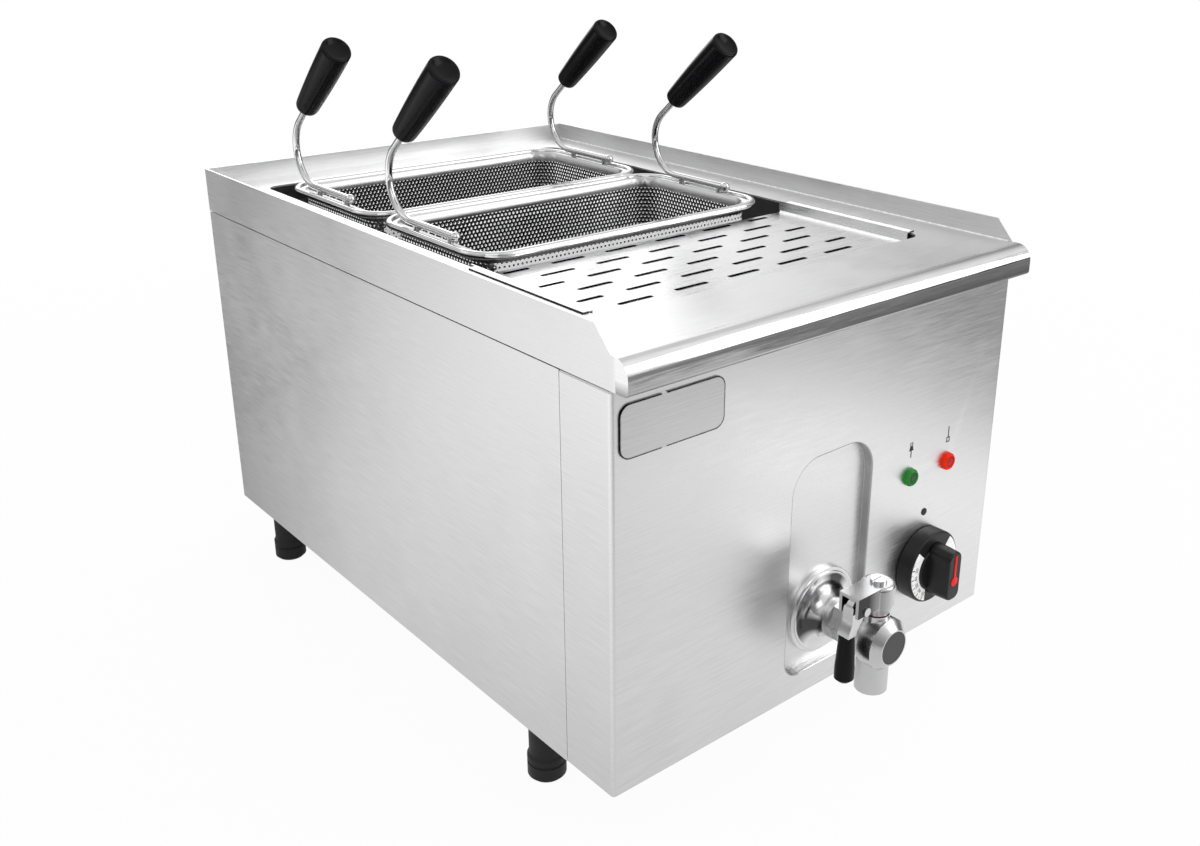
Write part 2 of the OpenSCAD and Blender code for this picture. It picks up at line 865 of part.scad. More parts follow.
module tap_head() {
  color(bright) at_home() translate([tap_x, -tap_out, 0]) difference() {
    union() {
      rotate_extrude() hub_outline();
      translate([-head_l, -head_w / 2, z_channel]) cube([head_l, head_w, head_h]);
    }
    translate([-head_l - over, -head_w / 2 + head_wall, z_channel - over])
      cube([head_l + over - head_w / 2 - hub_wall, head_w - 2 * head_wall, head_h - head_wall + over]);
    post(0, 0, head_z - over, head_top - head_wall, spindle_r + run_fit);
    post(0, 0, head_z, head_top + over, tap_screw_r + hole_fit);
    bar(-pin_out, pin_z, -head_w, head_w, pin_r + run_fit);
  }
}

rivet_t = 1.2;
rivet_r = 3.2;

module lever_pin() {
  color(bright) at_home() translate([tap_x - pin_out, -tap_out, 0]) {
    bar(0, pin_z, -head_w / 2 - rivet_t, head_w / 2 + rivet_t, pin_r);
    for (y = [-head_w / 2 - rivet_t, head_w / 2]) bar(0, pin_z, y, y + rivet_t, rivet_r);
  }
}

bar_w = 8.5;
lever_x = pin_out - grip_out;
tang_r = 3;
tang_l = 24;

// Lever seen from the front, about its pin
module lever_outline() {
  left = lever_x - bar_w / 2;
  circle(eye_r);
  polygon([
    [-eye_r, 0], [-eye_r, -eye_r], [left, -lever_drop + over], [left, -lever_drop],
    [left + bar_w, -lever_drop], [left + bar_w, -lever_drop + over], [0, -eye_r + over], [0, 0]
  ]);
}

module tap_lever() {
  color(bright) at_home() translate([tap_x - pin_out, -tap_out, pin_z]) {
    facing(-lever_t / 2, lever_t) difference() {
      lever_outline();
      circle(pin_r + run_fit);
    }
    post(lever_x, 0, -lever_drop - tang_l, -lever_drop + over / 2, tang_r);
  }
}

lever_grip_neck = 5.6;
lever_grip_round = 2.5;
lever_grip_swell = 0.7;

module lever_grip() {
  low = lever_grip_l - lever_grip_round;
  color(black) at_home() translate([tap_x - grip_out, -tap_out, pin_z - lever_drop])
    rotate_extrude() difference() {
      polygon([
        [0, 0], [lever_grip_neck - 1, 0], [lever_grip_neck, -1],
        [lever_grip_r, -lever_grip_swell * lever_grip_l],
        [lever_grip_r, -low], [lever_grip_r - lever_grip_round, -lever_grip_l], [0, -lever_grip_l]
      ]);
      translate([-over, -tang_l - over]) square([tang_r + run_fit + over, tang_l + 2 * over]);
    }
}

// Controls

knob_z = z_body + knob_up;
knob_socket = 22;
thermostat_w = 44;
thermostat_h = 34;
thermostat_d = 28;
shaft_in = 18;
shaft_play = 1;

module thermostat() {
  color(dark) at_home() difference() {
    translate([control_x - thermostat_w / 2, panel_t, knob_z - thermostat_h / 2])
      cube([thermostat_w, thermostat_d, thermostat_h]);
    bar(control_x, knob_z, 0, panel_t + shaft_in + move_gap, shaft_r + run_fit);
  }
}

module thermostat_shaft() {
  color(bright) at_home() bar(control_x, knob_z, -knob_gap - knob_socket + 1, panel_t + shaft_in, shaft_r);
}

knob_taper = 1.5;
knob_edge = 1.5;

module knob() {
  skirt_y = -knob_gap - knob_skirt;
  grip_h = knob_h + skirt_y;
  color(black) at_home() difference() {
    union() {
      turned(control_x, -knob_gap, knob_z)
        polygon([
          [0, 0], [knob_r, 0], [knob_r, knob_skirt - knob_edge],
          [knob_r - knob_edge, knob_skirt], [0, knob_skirt]
        ]);
      intersection() {
        turned(control_x, skirt_y + over, knob_z)
          polygon([
            [0, 0], [knob_grip_r, 0], [knob_grip_r - knob_taper, grip_h + over], [0, grip_h + over]
          ]);
        translate([control_x - knob_grip_w / 2, -knob_h, knob_z - knob_r])
          cube([knob_grip_w, knob_h, 2 * knob_r]);
      }
    }
    bar(control_x, knob_z, -knob_gap - knob_socket, 0, shaft_r + run_fit);
  }
}

scale_in = 0.5;
scale_w = 9;
scale_start = 137;
scale_sweep = 245;
scale_t = 0.3;

module knob_scale() {
  scale_r = knob_r - knob_edge - scale_in;
  color("white") at_home() difference() {
    translate([control_x, -knob_gap - knob_skirt, knob_z]) rotate([90, 0, 0]) rotate([0, 0, scale_start])
      rotate_extrude(angle = scale_sweep) translate([scale_r - scale_w, 0]) square([scale_w, scale_t]);
    translate([control_x - knob_grip_w / 2 - move_gap, -knob_h, knob_z - knob_r])
      cube([knob_grip_w + 2 * move_gap, knob_h, 2 * knob_r]);
  }
}

pointer_w = 2.6;
pointer_in = 2;
pointer_bulb_r = 4;
pointer_bulb_z = -4;
pointer_t = 0.4;

module knob_pointer() {
  pointer_top = knob_grip_r - knob_taper - pointer_in;
  color("red") at_home() translate([control_x, 0, knob_z]) facing(-knob_h - pointer_t, pointer_t) {
    translate([-pointer_w / 2, pointer_bulb_z]) square([pointer_w, pointer_top - pointer_bulb_z]);
    translate([0, pointer_bulb_z]) circle(pointer_bulb_r);
  }
}

holder_in = 1.2;
holder_r = lamp_r - holder_in;
holder_l = 26;
holder_lug = 2;
lens_edge = 2;

module lamp_places() {
  for (side = [-1, 1])
    translate([control_x + side * lamp_pitch / 2, 0, z_body + lamp_up]) children();
}

// Lens with a flat front, a bevelled rim and a skirt on the panel
module lamp_lens(side) {
  at_home() turned(control_x + side * lamp_pitch / 2, 0, z_body + lamp_up)
    polygon([
      [0, 0], [lamp_r, 0], [lamp_r, lamp_h - lens_edge], [lamp_r - lens_edge, lamp_h], [0, lamp_h]
    ]);
}

module lamp_green() {
  color("green") lamp_lens(-1);
}

module lamp_red() {
  color("orangered") lamp_lens(1);
}

module lamp_holders() {
  color(black) at_home() lamp_places() {
    bar(0, 0, 0, holder_l, holder_r);
    hex_bar(0, 0, panel_t, panel_t + nut_t, 2 * (holder_r + holder_lug));
  }
}

mark_t = 0.5;

module index_mark() {
  color(black) at_home() bar(control_x, z_body + index_up, -mark_t, 0, index_r);
}

badge_t = 1;
badge_r = 8;

module badge_plate() {
  color(bright) at_home() facing(-badge_t, badge_t)
    translate([-half_w + badge_in + badge_w / 2, z_panel_top - badge_down - badge_h / 2])
      round_rect(badge_w, badge_h, badge_r);
}

// Cable inlet

gland_wall = 4;
gland_tail_r = gland_bore_r + gland_wall;
gland_af = 2 * (gland_tail_r + gland_wall / 2);
gland_hex = 5;
gland_tail = 12;
gland_z = z_body + gland_up;

module cable_gland() {
  color(black) at_home() difference() {
    union() {
      bar(gland_x, gland_z, body_d - gland_tail, body_d + gland_hex, gland_tail_r);
      hex_bar(gland_x, gland_z, body_d, body_d + gland_hex, gland_af);
      turned(gland_x, body_d + gland_out, gland_z)
        polygon([
          [0, 0], [gland_bore_r + 2, 0], [gland_tail_r + 1, gland_out - gland_hex - 2],
          [gland_tail_r + 1, gland_out - gland_hex], [0, gland_out - gland_hex]
        ]);
    }
    bar(gland_x, gland_z, body_d - gland_tail - over, body_d + gland_out + over, gland_bore_r);
  }
}

module gland_nut() {
  y1 = body_d - panel_t;
  color(black) at_home() difference() {
    hex_bar(gland_x, gland_z, y1 - nut_t, y1, gland_af);
    bar(gland_x, gland_z, y1 - nut_t - over, y1 + over, gland_tail_r + hole_fit);
  }
}

block_w = 62;
block_d = 24;
block_h = 20;
block_ways = 5;
block_gap = 2;
block_back = 46;

module terminal_block() {
  color("ivory") at_home() translate([gland_x - block_w / 2, body_d - block_back - block_d, z_base])
    difference() {
      cube([block_w, block_d, block_h]);
      for (i = [1 : block_ways - 1])
        translate([i * block_w / block_ways - block_gap / 2, -over, block_h / 2])
          cube([block_gap, block_d + 2 * over, block_h]);
    }
}

// Feet

foot_round = 2.5;
foot_groove = 1;

module foot(x, y) {
  stem_top = z_body - move_gap;
  color(black) at_home() translate([x * (half_w - foot_in), y, 0]) {
    rotate_extrude() difference() {
      polygon([
        [0, 0], [foot_cap_r - foot_round, 0], [foot_cap_r, foot_round],
        [foot_cap_r, foot_cap_h - foot_round], [foot_stem_r, foot_cap_h],
        [foot_stem_r, stem_top], [0, stem_top]
      ]);
      translate([foot_cap_r, foot_cap_h - 3 * foot_round]) circle(foot_groove);
    }
    post(0, 0, stem_top - over, z_base + 2 * nut_t, shank_r);
  }
}

module foot_front_left() {
  foot(-1, foot_front);
}

module foot_front_right() {
  foot(1, foot_front);
}

module foot_rear_left() {
  foot(-1, body_d - foot_rear);
}

module foot_rear_right() {
  foot(1, body_d - foot_rear);
}

module foot_nuts() {
  color(bright) at_home() foot_places() difference() {
    translate([0, 0, z_base]) cylinder(h = nut_t, d = 2 * (shank_r + nut_wall) / cos(30), $fn = 6);
    post(0, 0, z_base - over, z_base + nut_t + over, shank_r + run_fit);
  }
}

// Drain tray

tray_y0 = well_front + tray_gap;
tray_y1 = front_basket_y - tray_gap;
tray_half = well_w / 2 - tray_gap;
z_tray = z_deck - tray_drop;
tray_apron = 6;

// Plate of the tray, which follows the well's front corners
module tray_outline() {
  intersection() {
    well_outline(-tray_gap);
    translate([-tray_half, 0]) square([2 * tray_half, tray_y1]);
  }
}

// Rows of slots from the back edge: two short slots end every second row
module tray_slots() {
  rows = floor((tray_y1 - tray_y0 - 2 * slot_edge) / slot_row);
  side_slots = floor((tray_half - slot_l) / slot_pitch);
  short_x = (side_slots + 0.5) * slot_pitch - (slot_l - slot_short) / 2;
  for (j = [0 : rows]) translate([0, tray_y1 - slot_edge - j * slot_row]) {
    if (j % 2 == 1) {
      for (i = [-side_slots : side_slots]) translate([i * slot_pitch, 0]) slot(slot_l, slot_w);
    } else {
      for (i = [0.5 - side_slots : side_slots - 0.5]) translate([i * slot_pitch, 0]) slot(slot_l, slot_w);
      for (side = [-1, 1]) translate([side * short_x, 0]) slot(slot_short, slot_w);
    }
  }
}

module drain_tray() {
  wall_y = well_front + well_r;
  color(steel) at_home() {
    translate([0, 0, z_tray - tray_t]) linear_extrude(tray_t) difference() {
      tray_outline();
      tray_slots();
    }
    mirrored_x() {
      translate([tray_half - tray_t, wall_y, z_tray - tray_t])
        cube([tray_t, tray_y1 - wall_y, tray_drop + 2 * tray_t]);
      translate([tray_half - tray_t, wall_y, z_deck])
        cube([tray_t + tray_gap + tray_lip, tray_y1 - tray_notch - wall_y, tray_t]);
    }
    translate([-tray_half, tray_y1 - tray_t, z_tray - tray_apron])
      cube([2 * tray_half, tray_t, tray_apron]);
  }
}

// Baskets, each drawn about the middle of its front rim edge

module basket_at(y) {
  at_home() translate([0, y, 0]) children();
}

module basket_plan() {
  translate([0, basket_d / 2]) children();
}

module rim_wire() {
  r = wire_d / 2;
  w = basket_w - wire_d;
  d = basket_d - wire_d;
  bend = basket_r + rim_over - r;
  for (side = [-1, 1]) {
    translate([-w / 2 + bend, side * d / 2, 0]) rotate([0, 90, 0]) cylinder(h = w - 2 * bend, r = r);
    translate([side * w / 2, -d / 2 + bend, 0]) rotate([-90, 0, 0]) cylinder(h = d - 2 * bend, r = r);
  }
  for (q = [0 : 3]) mirror([q % 2, 0, 0]) mirror([0, floor(q / 2), 0])
    translate([w / 2 - bend, d / 2 - bend, 0]) rotate_extrude(angle = 90) translate([bend, 0]) circle(r);
}

module basket_rim(y) {
  color(bright) basket_at(y) basket_plan() translate([0, 0, z_rim]) rim_wire();
}

module basket_band(y) {
  lip = rim_flange - weld_gap;
  color(steel) basket_at(y) basket_plan() {
    translate([0, 0, z_band]) linear_extrude(band_h) sheet_ring(wall_w, wall_d, basket_r, basket_t);
    translate([0, 0, z_flange - basket_t]) linear_extrude(basket_t)
      sheet_ring(wall_w + 2 * lip, wall_d + 2 * lip, basket_r + lip, lip + basket_t / 2);
  }
}

perf_margin = 3;
perf_row = perf_pitch * sin(60);

// Flat perforated sheet of w by h, about its middle
module perforated(w, h) {
  margin = perf_d / 2 + perf_margin;
  difference() {
    square([w, h], center = true);
    for (p = staggered(w - 2 * margin, h - 2 * margin, perf_pitch, perf_row))
      translate(p) circle(d = perf_d);
  }
}

z_wall = z_basket + basket_t;
wall_h = z_band - z_wall;

module basket_long_walls(y) {
  color(steel) basket_at(y) basket_plan() for (side = [0, 1]) mirror([0, side, 0])
    translate([0, 0, z_wall + wall_h / 2]) facing(wall_d / 2 - basket_t, basket_t)
      perforated(wall_w - 2 * basket_r, wall_h);
}

module basket_end_walls(y) {
  color(steel) basket_at(y) basket_plan() mirrored_x()
    translate([0, 0, z_wall + wall_h / 2]) sideways(wall_w / 2 - basket_t, basket_t)
      perforated(wall_d - 2 * basket_r, wall_h);
}

module basket_corners(y) {
  color(steel) basket_at(y) basket_plan() translate([0, 0, z_wall]) for (q = [0 : 3])
    mirror([q % 2, 0, 0]) mirror([0, floor(q / 2), 0])
      translate([wall_w / 2 - basket_r, wall_d / 2 - basket_r, 0]) rotate_extrude(angle = 90)
        translate([basket_r - basket_t, 0]) square([basket_t, wall_h]);
}

module basket_bottom(y) {
  field_w = wall_w - basket_r - perf_d;
  field_d = wall_d - basket_r - perf_d;
  color(steel) basket_at(y) basket_plan() translate([0, 0, z_basket]) linear_extrude(basket_t)
    difference() {
      round_rect(wall_w, wall_d, basket_r);
      for (p = staggered(field_w, field_d, perf_pitch, perf_row)) translate(p) circle(d = perf_d);
    }
}

// Moves to the end of a handle's bend, with Z along the wire towards the grip
module along_grip() {
  translate([handle_start + handle_foot, 0, 0]) translate([0, handle_r, 0])
    rotate([0, 0, handle_bend - 90]) translate([handle_r, 0, 0]) rotate([-90, 0, 0]) children();
}

handle_ease = 0.1;
handle_end_r = wire_d / 2 - handle_ease;

// Handle wire in its own plane: local X runs to the back, local Y runs up. Past its bend it is
// ground a little thinner to take the grip.
module handle_wire() {
  r = wire_d / 2;
  translate([handle_start, 0, 0]) rotate([0, 90, 0]) cylinder(h = handle_foot, r = r);
  translate([handle_start, 0, 0]) sphere(d = ball_d);
  translate([handle_start + handle_foot, handle_r, 0]) rotate([0, 0, -90])
    rotate_extrude(angle = handle_bend) translate([handle_r, 0]) circle(r);
  along_grip() translate([0, 0, -handle_ease])
    cylinder(h = handle_ease + handle_neck + handle_tang, r = handle_end_r);
}

module on_handles() {
  for (side = [-1, 1])
    translate([side * handle_x, 0, z_handle]) rotate([90, 0, 90]) children();
}

module basket_handles(y) {
  stud_start = handle_start + (handle_foot - stud_pitch) / 2;
  color(bright) basket_at(y) {
    on_handles() handle_wire();
    for (side = [-1, 1], s = [0, stud_pitch])
      post(side * handle_x, stud_start + s, z_flange, z_handle, (rim_flange - 2 * weld_gap) / 2);
  }
}

grip_round = 2.5;
grip_edge = 1.2;
grip_brim = 2.5;

module grip_outline() {
  slope = (grip_d2 - grip_d1) / 2 / grip_l;
  polygon([
    [0, 0], [grip_d1 / 2 - grip_round, 0], [grip_d1 / 2 + slope * grip_round, grip_round],
    [(grip_d1 + grip_d2) / 4 + grip_swell, grip_l / 2],
    [grip_d2 / 2 - slope * grip_edge, grip_l - grip_edge], [grip_d2 / 2 - grip_edge, grip_l], [0, grip_l]
  ]);
}

module basket_grips(y) {
  dish_half = grip_d2 / 2 - grip_brim;
  dish_r = (dish_half * dish_half + grip_dish * grip_dish) / (2 * grip_dish);
  color(black) basket_at(y) on_handles() along_grip() translate([0, 0, handle_neck]) rotate_extrude()
    difference() {
      grip_outline();
      translate([-over, -over]) square([handle_end_r + run_fit + over, handle_tang + 2 * over]);
      translate([0, grip_l - grip_dish + dish_r]) intersection() {
        circle(dish_r);
        translate([0, -dish_r]) square([dish_r, dish_r]);
      }
    }
}

module front_basket_rim() {
  basket_rim(front_basket_y);
}

module front_basket_band() {
  basket_band(front_basket_y);
}

module front_basket_long_walls() {
  basket_long_walls(front_basket_y);
}

module front_basket_end_walls() {
  basket_end_walls(front_basket_y);
}

module front_basket_corners() {
  basket_corners(front_basket_y);
}

module front_basket_bottom() {
  basket_bottom(front_basket_y);
}

module front_basket_handles() {
  basket_handles(front_basket_y);
}

module front_basket_grips() {
  basket_grips(front_basket_y);
}

module rear_basket_rim() {
  basket_rim(rear_basket_y);
}

module rear_basket_band() {
  basket_band(rear_basket_y);
}

module rear_basket_long_walls() {
  basket_long_walls(rear_basket_y);
}

module rear_basket_end_walls() {
  basket_end_walls(rear_basket_y);
}

module rear_basket_corners() {
  basket_corners(rear_basket_y);
}

module rear_basket_bottom() {
  basket_bottom(rear_basket_y);
}

module rear_basket_handles() {
  basket_handles(rear_basket_y);
}

module rear_basket_grips() {
  basket_grips(rear_basket_y);
}

top_deck();
tank();
front_panel();
left_side_panel();
right_side_panel();
rear_panel();
base_plate();
rear_screws();
false_bottom();
heating_elements();
element_nuts();
sensor_bulb();
bulb_gland();
drain_pipe();
tap_flange();
tap_body();
tap_cap_disc();
tap_locknut();
tap_seal();
tap_plug();
tap_head();
tap_screw();
lever_pin();
tap_lever();
lever_grip();
thermostat();
thermostat_shaft();
knob();
knob_scale();
knob_pointer();
lamp_green();
lamp_red();
lamp_holders();
index_mark();
badge_plate();
terminal_block();
cable_gland();
gland_nut();
foot_nuts();
foot_front_left();
foot_front_right();
foot_rear_left();
foot_rear_right();
drain_tray();
front_basket_rim();
front_basket_band();
front_basket_long_walls();
front_basket_end_walls();
front_basket_corners();
front_basket_bottom();
front_basket_handles();
front_basket_grips();
rear_basket_rim();
rear_basket_band();
rear_basket_long_walls();
rear_basket_end_walls();
rear_basket_corners();
rear_basket_bottom();
rear_basket_handles();
rear_basket_grips();
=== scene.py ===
"""Looks of the pasta cooker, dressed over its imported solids.

Lengths in the code are millimetres up to the stage, and metres from there on."""

import json
import math

import bmesh
import bpy
from mathutils import Matrix, Vector


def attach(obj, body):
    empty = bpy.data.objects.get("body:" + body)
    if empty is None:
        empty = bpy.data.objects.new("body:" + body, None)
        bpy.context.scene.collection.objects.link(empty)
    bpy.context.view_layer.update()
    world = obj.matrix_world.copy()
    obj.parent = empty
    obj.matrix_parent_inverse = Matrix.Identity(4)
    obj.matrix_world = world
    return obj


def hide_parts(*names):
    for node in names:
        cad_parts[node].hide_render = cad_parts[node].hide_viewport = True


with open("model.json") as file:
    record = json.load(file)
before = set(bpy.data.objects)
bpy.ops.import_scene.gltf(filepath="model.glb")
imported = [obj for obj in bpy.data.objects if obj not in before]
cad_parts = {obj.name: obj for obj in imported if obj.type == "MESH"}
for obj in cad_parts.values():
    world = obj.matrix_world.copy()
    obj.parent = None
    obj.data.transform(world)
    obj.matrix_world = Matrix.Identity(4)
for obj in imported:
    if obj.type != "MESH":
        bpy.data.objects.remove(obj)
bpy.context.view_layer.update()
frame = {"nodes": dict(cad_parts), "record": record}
nodes = frame["nodes"]
scene = bpy.context.scene
scene.view_settings.view_transform = "Standard"

MM = 0.001
PANEL_Y = -269.0  # model y of the front panel's face


def at(x, y, z):
    """A point in metres from millimetres, with y counted from the front panel's face."""
    return Vector((x * MM, (y + PANEL_Y) * MM, z * MM))


# Materials

NOISE_LOW, NOISE_HIGH = 0.3, 0.7  # most noise lies between these
MIX_SOCKETS = {"FLOAT": (2, 3, 0), "RGBA": (6, 7, 2)}  # a mix node's two inputs and its output


class Shader:
    """A node tree with short ways to add and link nodes."""

    def __init__(self, tree):
        self.tree = tree
        self.coords = None
        self.splits = {}

    def add(self, kind, **inputs):
        """A new node, with its inputs and its settings by name."""
        made = self.tree.nodes.new(kind)
        for key, value in inputs.items():
            if key in made.inputs:
                self.feed(made.inputs[key], value)
            else:
                setattr(made, key, value)
        return made

    def feed(self, socket, value):
        """Links another socket to this one, or sets a constant on it."""
        if isinstance(value, bpy.types.NodeSocket):
            self.tree.links.new(value, socket)
        else:
            socket.default_value = value

    def place(self, kind="Object"):
        if self.coords is None:
            self.coords = self.add("ShaderNodeTexCoord")
        return self.coords.outputs[kind]

    def along(self, axis, kind="Object"):
        """One axis of the place, or of the normal or the direction."""
        if kind not in self.splits:
            self.splits[kind] = self.add("ShaderNodeSeparateXYZ", Vector=self.place(kind))
        return self.splits[kind].outputs[axis]

    def noise(self, stretch, detail=2.0, rough=0.5):
        """Noise from 0 to 1, with so many features to the metre, on all axes or on each."""
        if not isinstance(stretch, tuple):
            stretch = (stretch, stretch, stretch)
        mapped = self.add("ShaderNodeMapping", Vector=self.place(), Scale=stretch)
        made = self.add("ShaderNodeTexNoise", Vector=mapped.outputs[0], Scale=1.0, Detail=detail,
                        Roughness=rough)
        return made.outputs["Fac"]

    def ramp(self, value, low, high, out_low, out_high):
        """Carries low to high over to out_low to out_high, and stops at both ends."""
        made = self.add("ShaderNodeMapRange", Value=value)
        for key, v in (("From Min", low), ("From Max", high), ("To Min", out_low), ("To Max", out_high)):
            made.inputs[key].default_value = v
        return made.outputs["Result"]

    def spread(self, value, low, high):
        """Noise turned into values from low to high."""
        return self.ramp(value, NOISE_LOW, NOISE_HIGH, low, high)

    def sway(self, value, by):
        """Noise turned into a swing of plus or minus by."""
        return self.spread(value, -by, by)

    def math(self, operation, a, b=0.0, c=0.0):
        """A sum on up to three values. For COMPARE c is the tolerance, for WRAP it is the lower end."""
        made = self.add("ShaderNodeMath", operation=operation)
        for socket, value in zip(made.inputs, (a, b, c)):
            self.feed(socket, value)
        return made.outputs[0]

    def measure(self, operation, a, b=(0.0, 0.0, 0.0)):
        """A number from one or two vectors."""
        made = self.add("ShaderNodeVectorMath", operation=operation)
        self.feed(made.inputs[0], a)
        self.feed(made.inputs[1], b)
        return made.outputs["Value"]

    def mix(self, fac, a, b, kind="RGBA"):
        """From a to b by fac."""
        first, second, result = MIX_SOCKETS[kind]
        made = self.add("ShaderNodeMix", data_type=kind)
        self.feed(made.inputs["Factor"], fac)
        self.feed(made.inputs[first], a)
        self.feed(made.inputs[second], b)
        return made.outputs[result]


class Finish(Shader):
    """A material on one principled shader."""

    def __init__(self, name):
        self.material = bpy.data.materials.new(name)
        self.material.use_nodes = True
        super().__init__(self.material.node_tree)
        self.bsdf = self.tree.nodes["Principled BSDF"]

    def set(self, **values):
        for key, value in values.items():
            self.feed(self.bsdf.inputs[key.replace("_", " ")], value)

    def tint(self, base, tone, reach, light=1.0):
        """Base colour that goes darker and lighter by tone, which runs from -reach to reach.

        It is black without light."""
        fac = self.ramp(tone, -reach, reach, 0.0, 1.0)
        colour = self.mix(fac, scaled(base, 1 - reach), scaled(base, 1 + reach))
        self.set(Base_Color=self.mix(light, rgb(0.0), colour) if light != 1.0 else colour)

    def bump(self, height, strength, distance):
        made = self.add("ShaderNodeBump", Strength=strength, Distance=distance * MM, Height=height)
        self.set(Normal=made.outputs["Normal"])


def rgb(r, g=None, b=None):
    """A colour from its channels, or a grey."""
    return (r, r if g is None else g, r if b is None else b, 1.0)


def scaled(colour, by):
    return tuple(min(1.0, c * by) for c in colour[:3]) + (1.0,)


LINE_RUN, LINE_FINE, LINE_ROUGH = 30.0, 800.0, 0.6  # grain lines, to the metre along and across
LINE_WEAR, LINE_DEEP = 0.06, 0.05  # their swing in roughness, their depth
CLOUDS, CLOUD_DETAIL, CLOUD_ROUGH, CLOUD_WEAR = 9.0, 3.0, 0.55, 0.04
SIDE_FACING = 0.6  # faces with more x than this in their normal have grain along y
NOSE_FROM, NOSE_BLEND = 4.0, 2.0  # how far the deck's nose lies before the panel
NOSE_LOW, NOSE_SHADE_TOP, NOSE_SHADE_LIGHT = 341.0, 349.0, 0.40  # heights between which painted shade darkens its underside, and the light it leaves at the bottom
FLANGE_X, FLANGE_T = 159.0, 2.0  # the tray's upright flanges, which are kept out of the painted shade of cut edges
APRON_Y = 208.5  # the tray's rear apron, which is kept out of it too
CUT_FACING = (0.3, 0.6)  # how far a cut's walls and a sheet's faces lie across the axis
CUT_RIM, CUT_BEND, CUT_SAMPLES = 1.8, (0.975, 0.997), 8  # how far painted shade reaches in from a cut's edges
# the light left at the top of a wall under painted shade
WELL_SHADE_LIGHT = 0.30


def brushed(name, base, rough, streak=0.05, cloud=0.03, relief=0.10, nose=None, cut=None, shade_band=None):
    """Steel sheet with short fine grain lines along its length and soft clouds left by polishing.

    Its front edge may be rubbed smoother, to a roughness of nose, with painted shade on its underside. A sheet
    that lies across the axis cut has painted shade along its cut edges. A wall may get painted shade between two
    heights."""
    s = Finish(name)
    along_x = s.noise((LINE_RUN, LINE_FINE, LINE_FINE), rough=LINE_ROUGH)
    along_y = s.noise((LINE_FINE, LINE_RUN, LINE_FINE), rough=LINE_ROUGH)
    sideways = s.math("GREATER_THAN", s.math("ABSOLUTE", s.along("X", "Normal")), SIDE_FACING)
    line = s.mix(sideways, along_x, along_y, "FLOAT")
    clouds = s.noise(CLOUDS, CLOUD_DETAIL, CLOUD_ROUGH)
    wear = s.math("ADD", s.sway(line, LINE_WEAR), s.sway(clouds, CLOUD_WEAR))
    light = 1.0
    if nose:
        edge, blend = (PANEL_Y - NOSE_FROM) * MM, NOSE_BLEND * MM
        rough = s.ramp(s.along("Y"), edge - blend, edge + blend, nose, rough)
        # painted shade: the nose's underside darkens towards its bottom edge
        light = s.math("MAXIMUM", s.ramp(s.along("Z"), NOSE_LOW * MM, NOSE_SHADE_TOP * MM, NOSE_SHADE_LIGHT, 1.0),
                       s.ramp(s.along("Y"), edge - blend, edge, 0.0, 1.0))
    # painted shade: faces across the axis, and faces within a bevel's reach of a cut, turn black
    if cut:
        flat = s.ramp(s.math("ABSOLUTE", s.along(cut, "Normal")), *CUT_FACING, 0.0, 1.0)
        round_edge = s.add("ShaderNodeBevel", samples=CUT_SAMPLES, Radius=CUT_RIM * MM)
        bend = s.add("ShaderNodeSeparateXYZ", Vector=round_edge.outputs[0]).outputs[cut]
        flat = s.math("MULTIPLY", flat, s.ramp(s.math("ABSOLUTE", bend), *CUT_BEND, 0.0, 1.0))
        flange = s.math("COMPARE", s.math("ABSOLUTE", s.along("X")), FLANGE_X * MM, FLANGE_T * MM)
        apron = s.math("GREATER_THAN", s.along("Y"), (APRON_Y + PANEL_Y) * MM)
        light = s.math("MAXIMUM", flat, s.math("MAXIMUM", flange, apron))
    # painted shade: darker towards the top of the wall, between two heights
    if shade_band:
        light = s.ramp(s.along("Z"), shade_band[0] * MM, shade_band[1] * MM, 1.0, WELL_SHADE_LIGHT)
    s.tint(base, s.math("ADD", s.sway(line, streak), s.sway(clouds, cloud)), streak + cloud, light)
    s.set(Roughness=s.math("ADD", wear, rough), Metallic=1.0)
    s.bump(line, relief, LINE_DEEP)
    return s.material


FILM, FILM_DETAIL, FILM_ROUGH, FILM_TONE = 40.0, 3.0, 0.6, 0.05
FILM_DULL = (0.8, 1.25)  # shares of the roughness that it runs between
CAST_ROUGH, CAST_DEEP = 0.6, 0.15
# painted dark reflection on an arm's flat sides: how squarely they face along y, and the light left there
ARM_FACING, ARM_LIGHT = (0.70, 0.90), 0.08
TAP_X, TAP_Z = 4.0, 112.0
BELL_DARK = ((62.0, 34.0), (-168.0, 38.0))  # painted dark reflections: angle about the tap's axis, spread to each side
BELL_PEAK, BELL_LIGHT = 1.6, 0.10
BELL_IN, BELL_OUT = 1.0, 1.5  # how far the dark runs out past its two radii


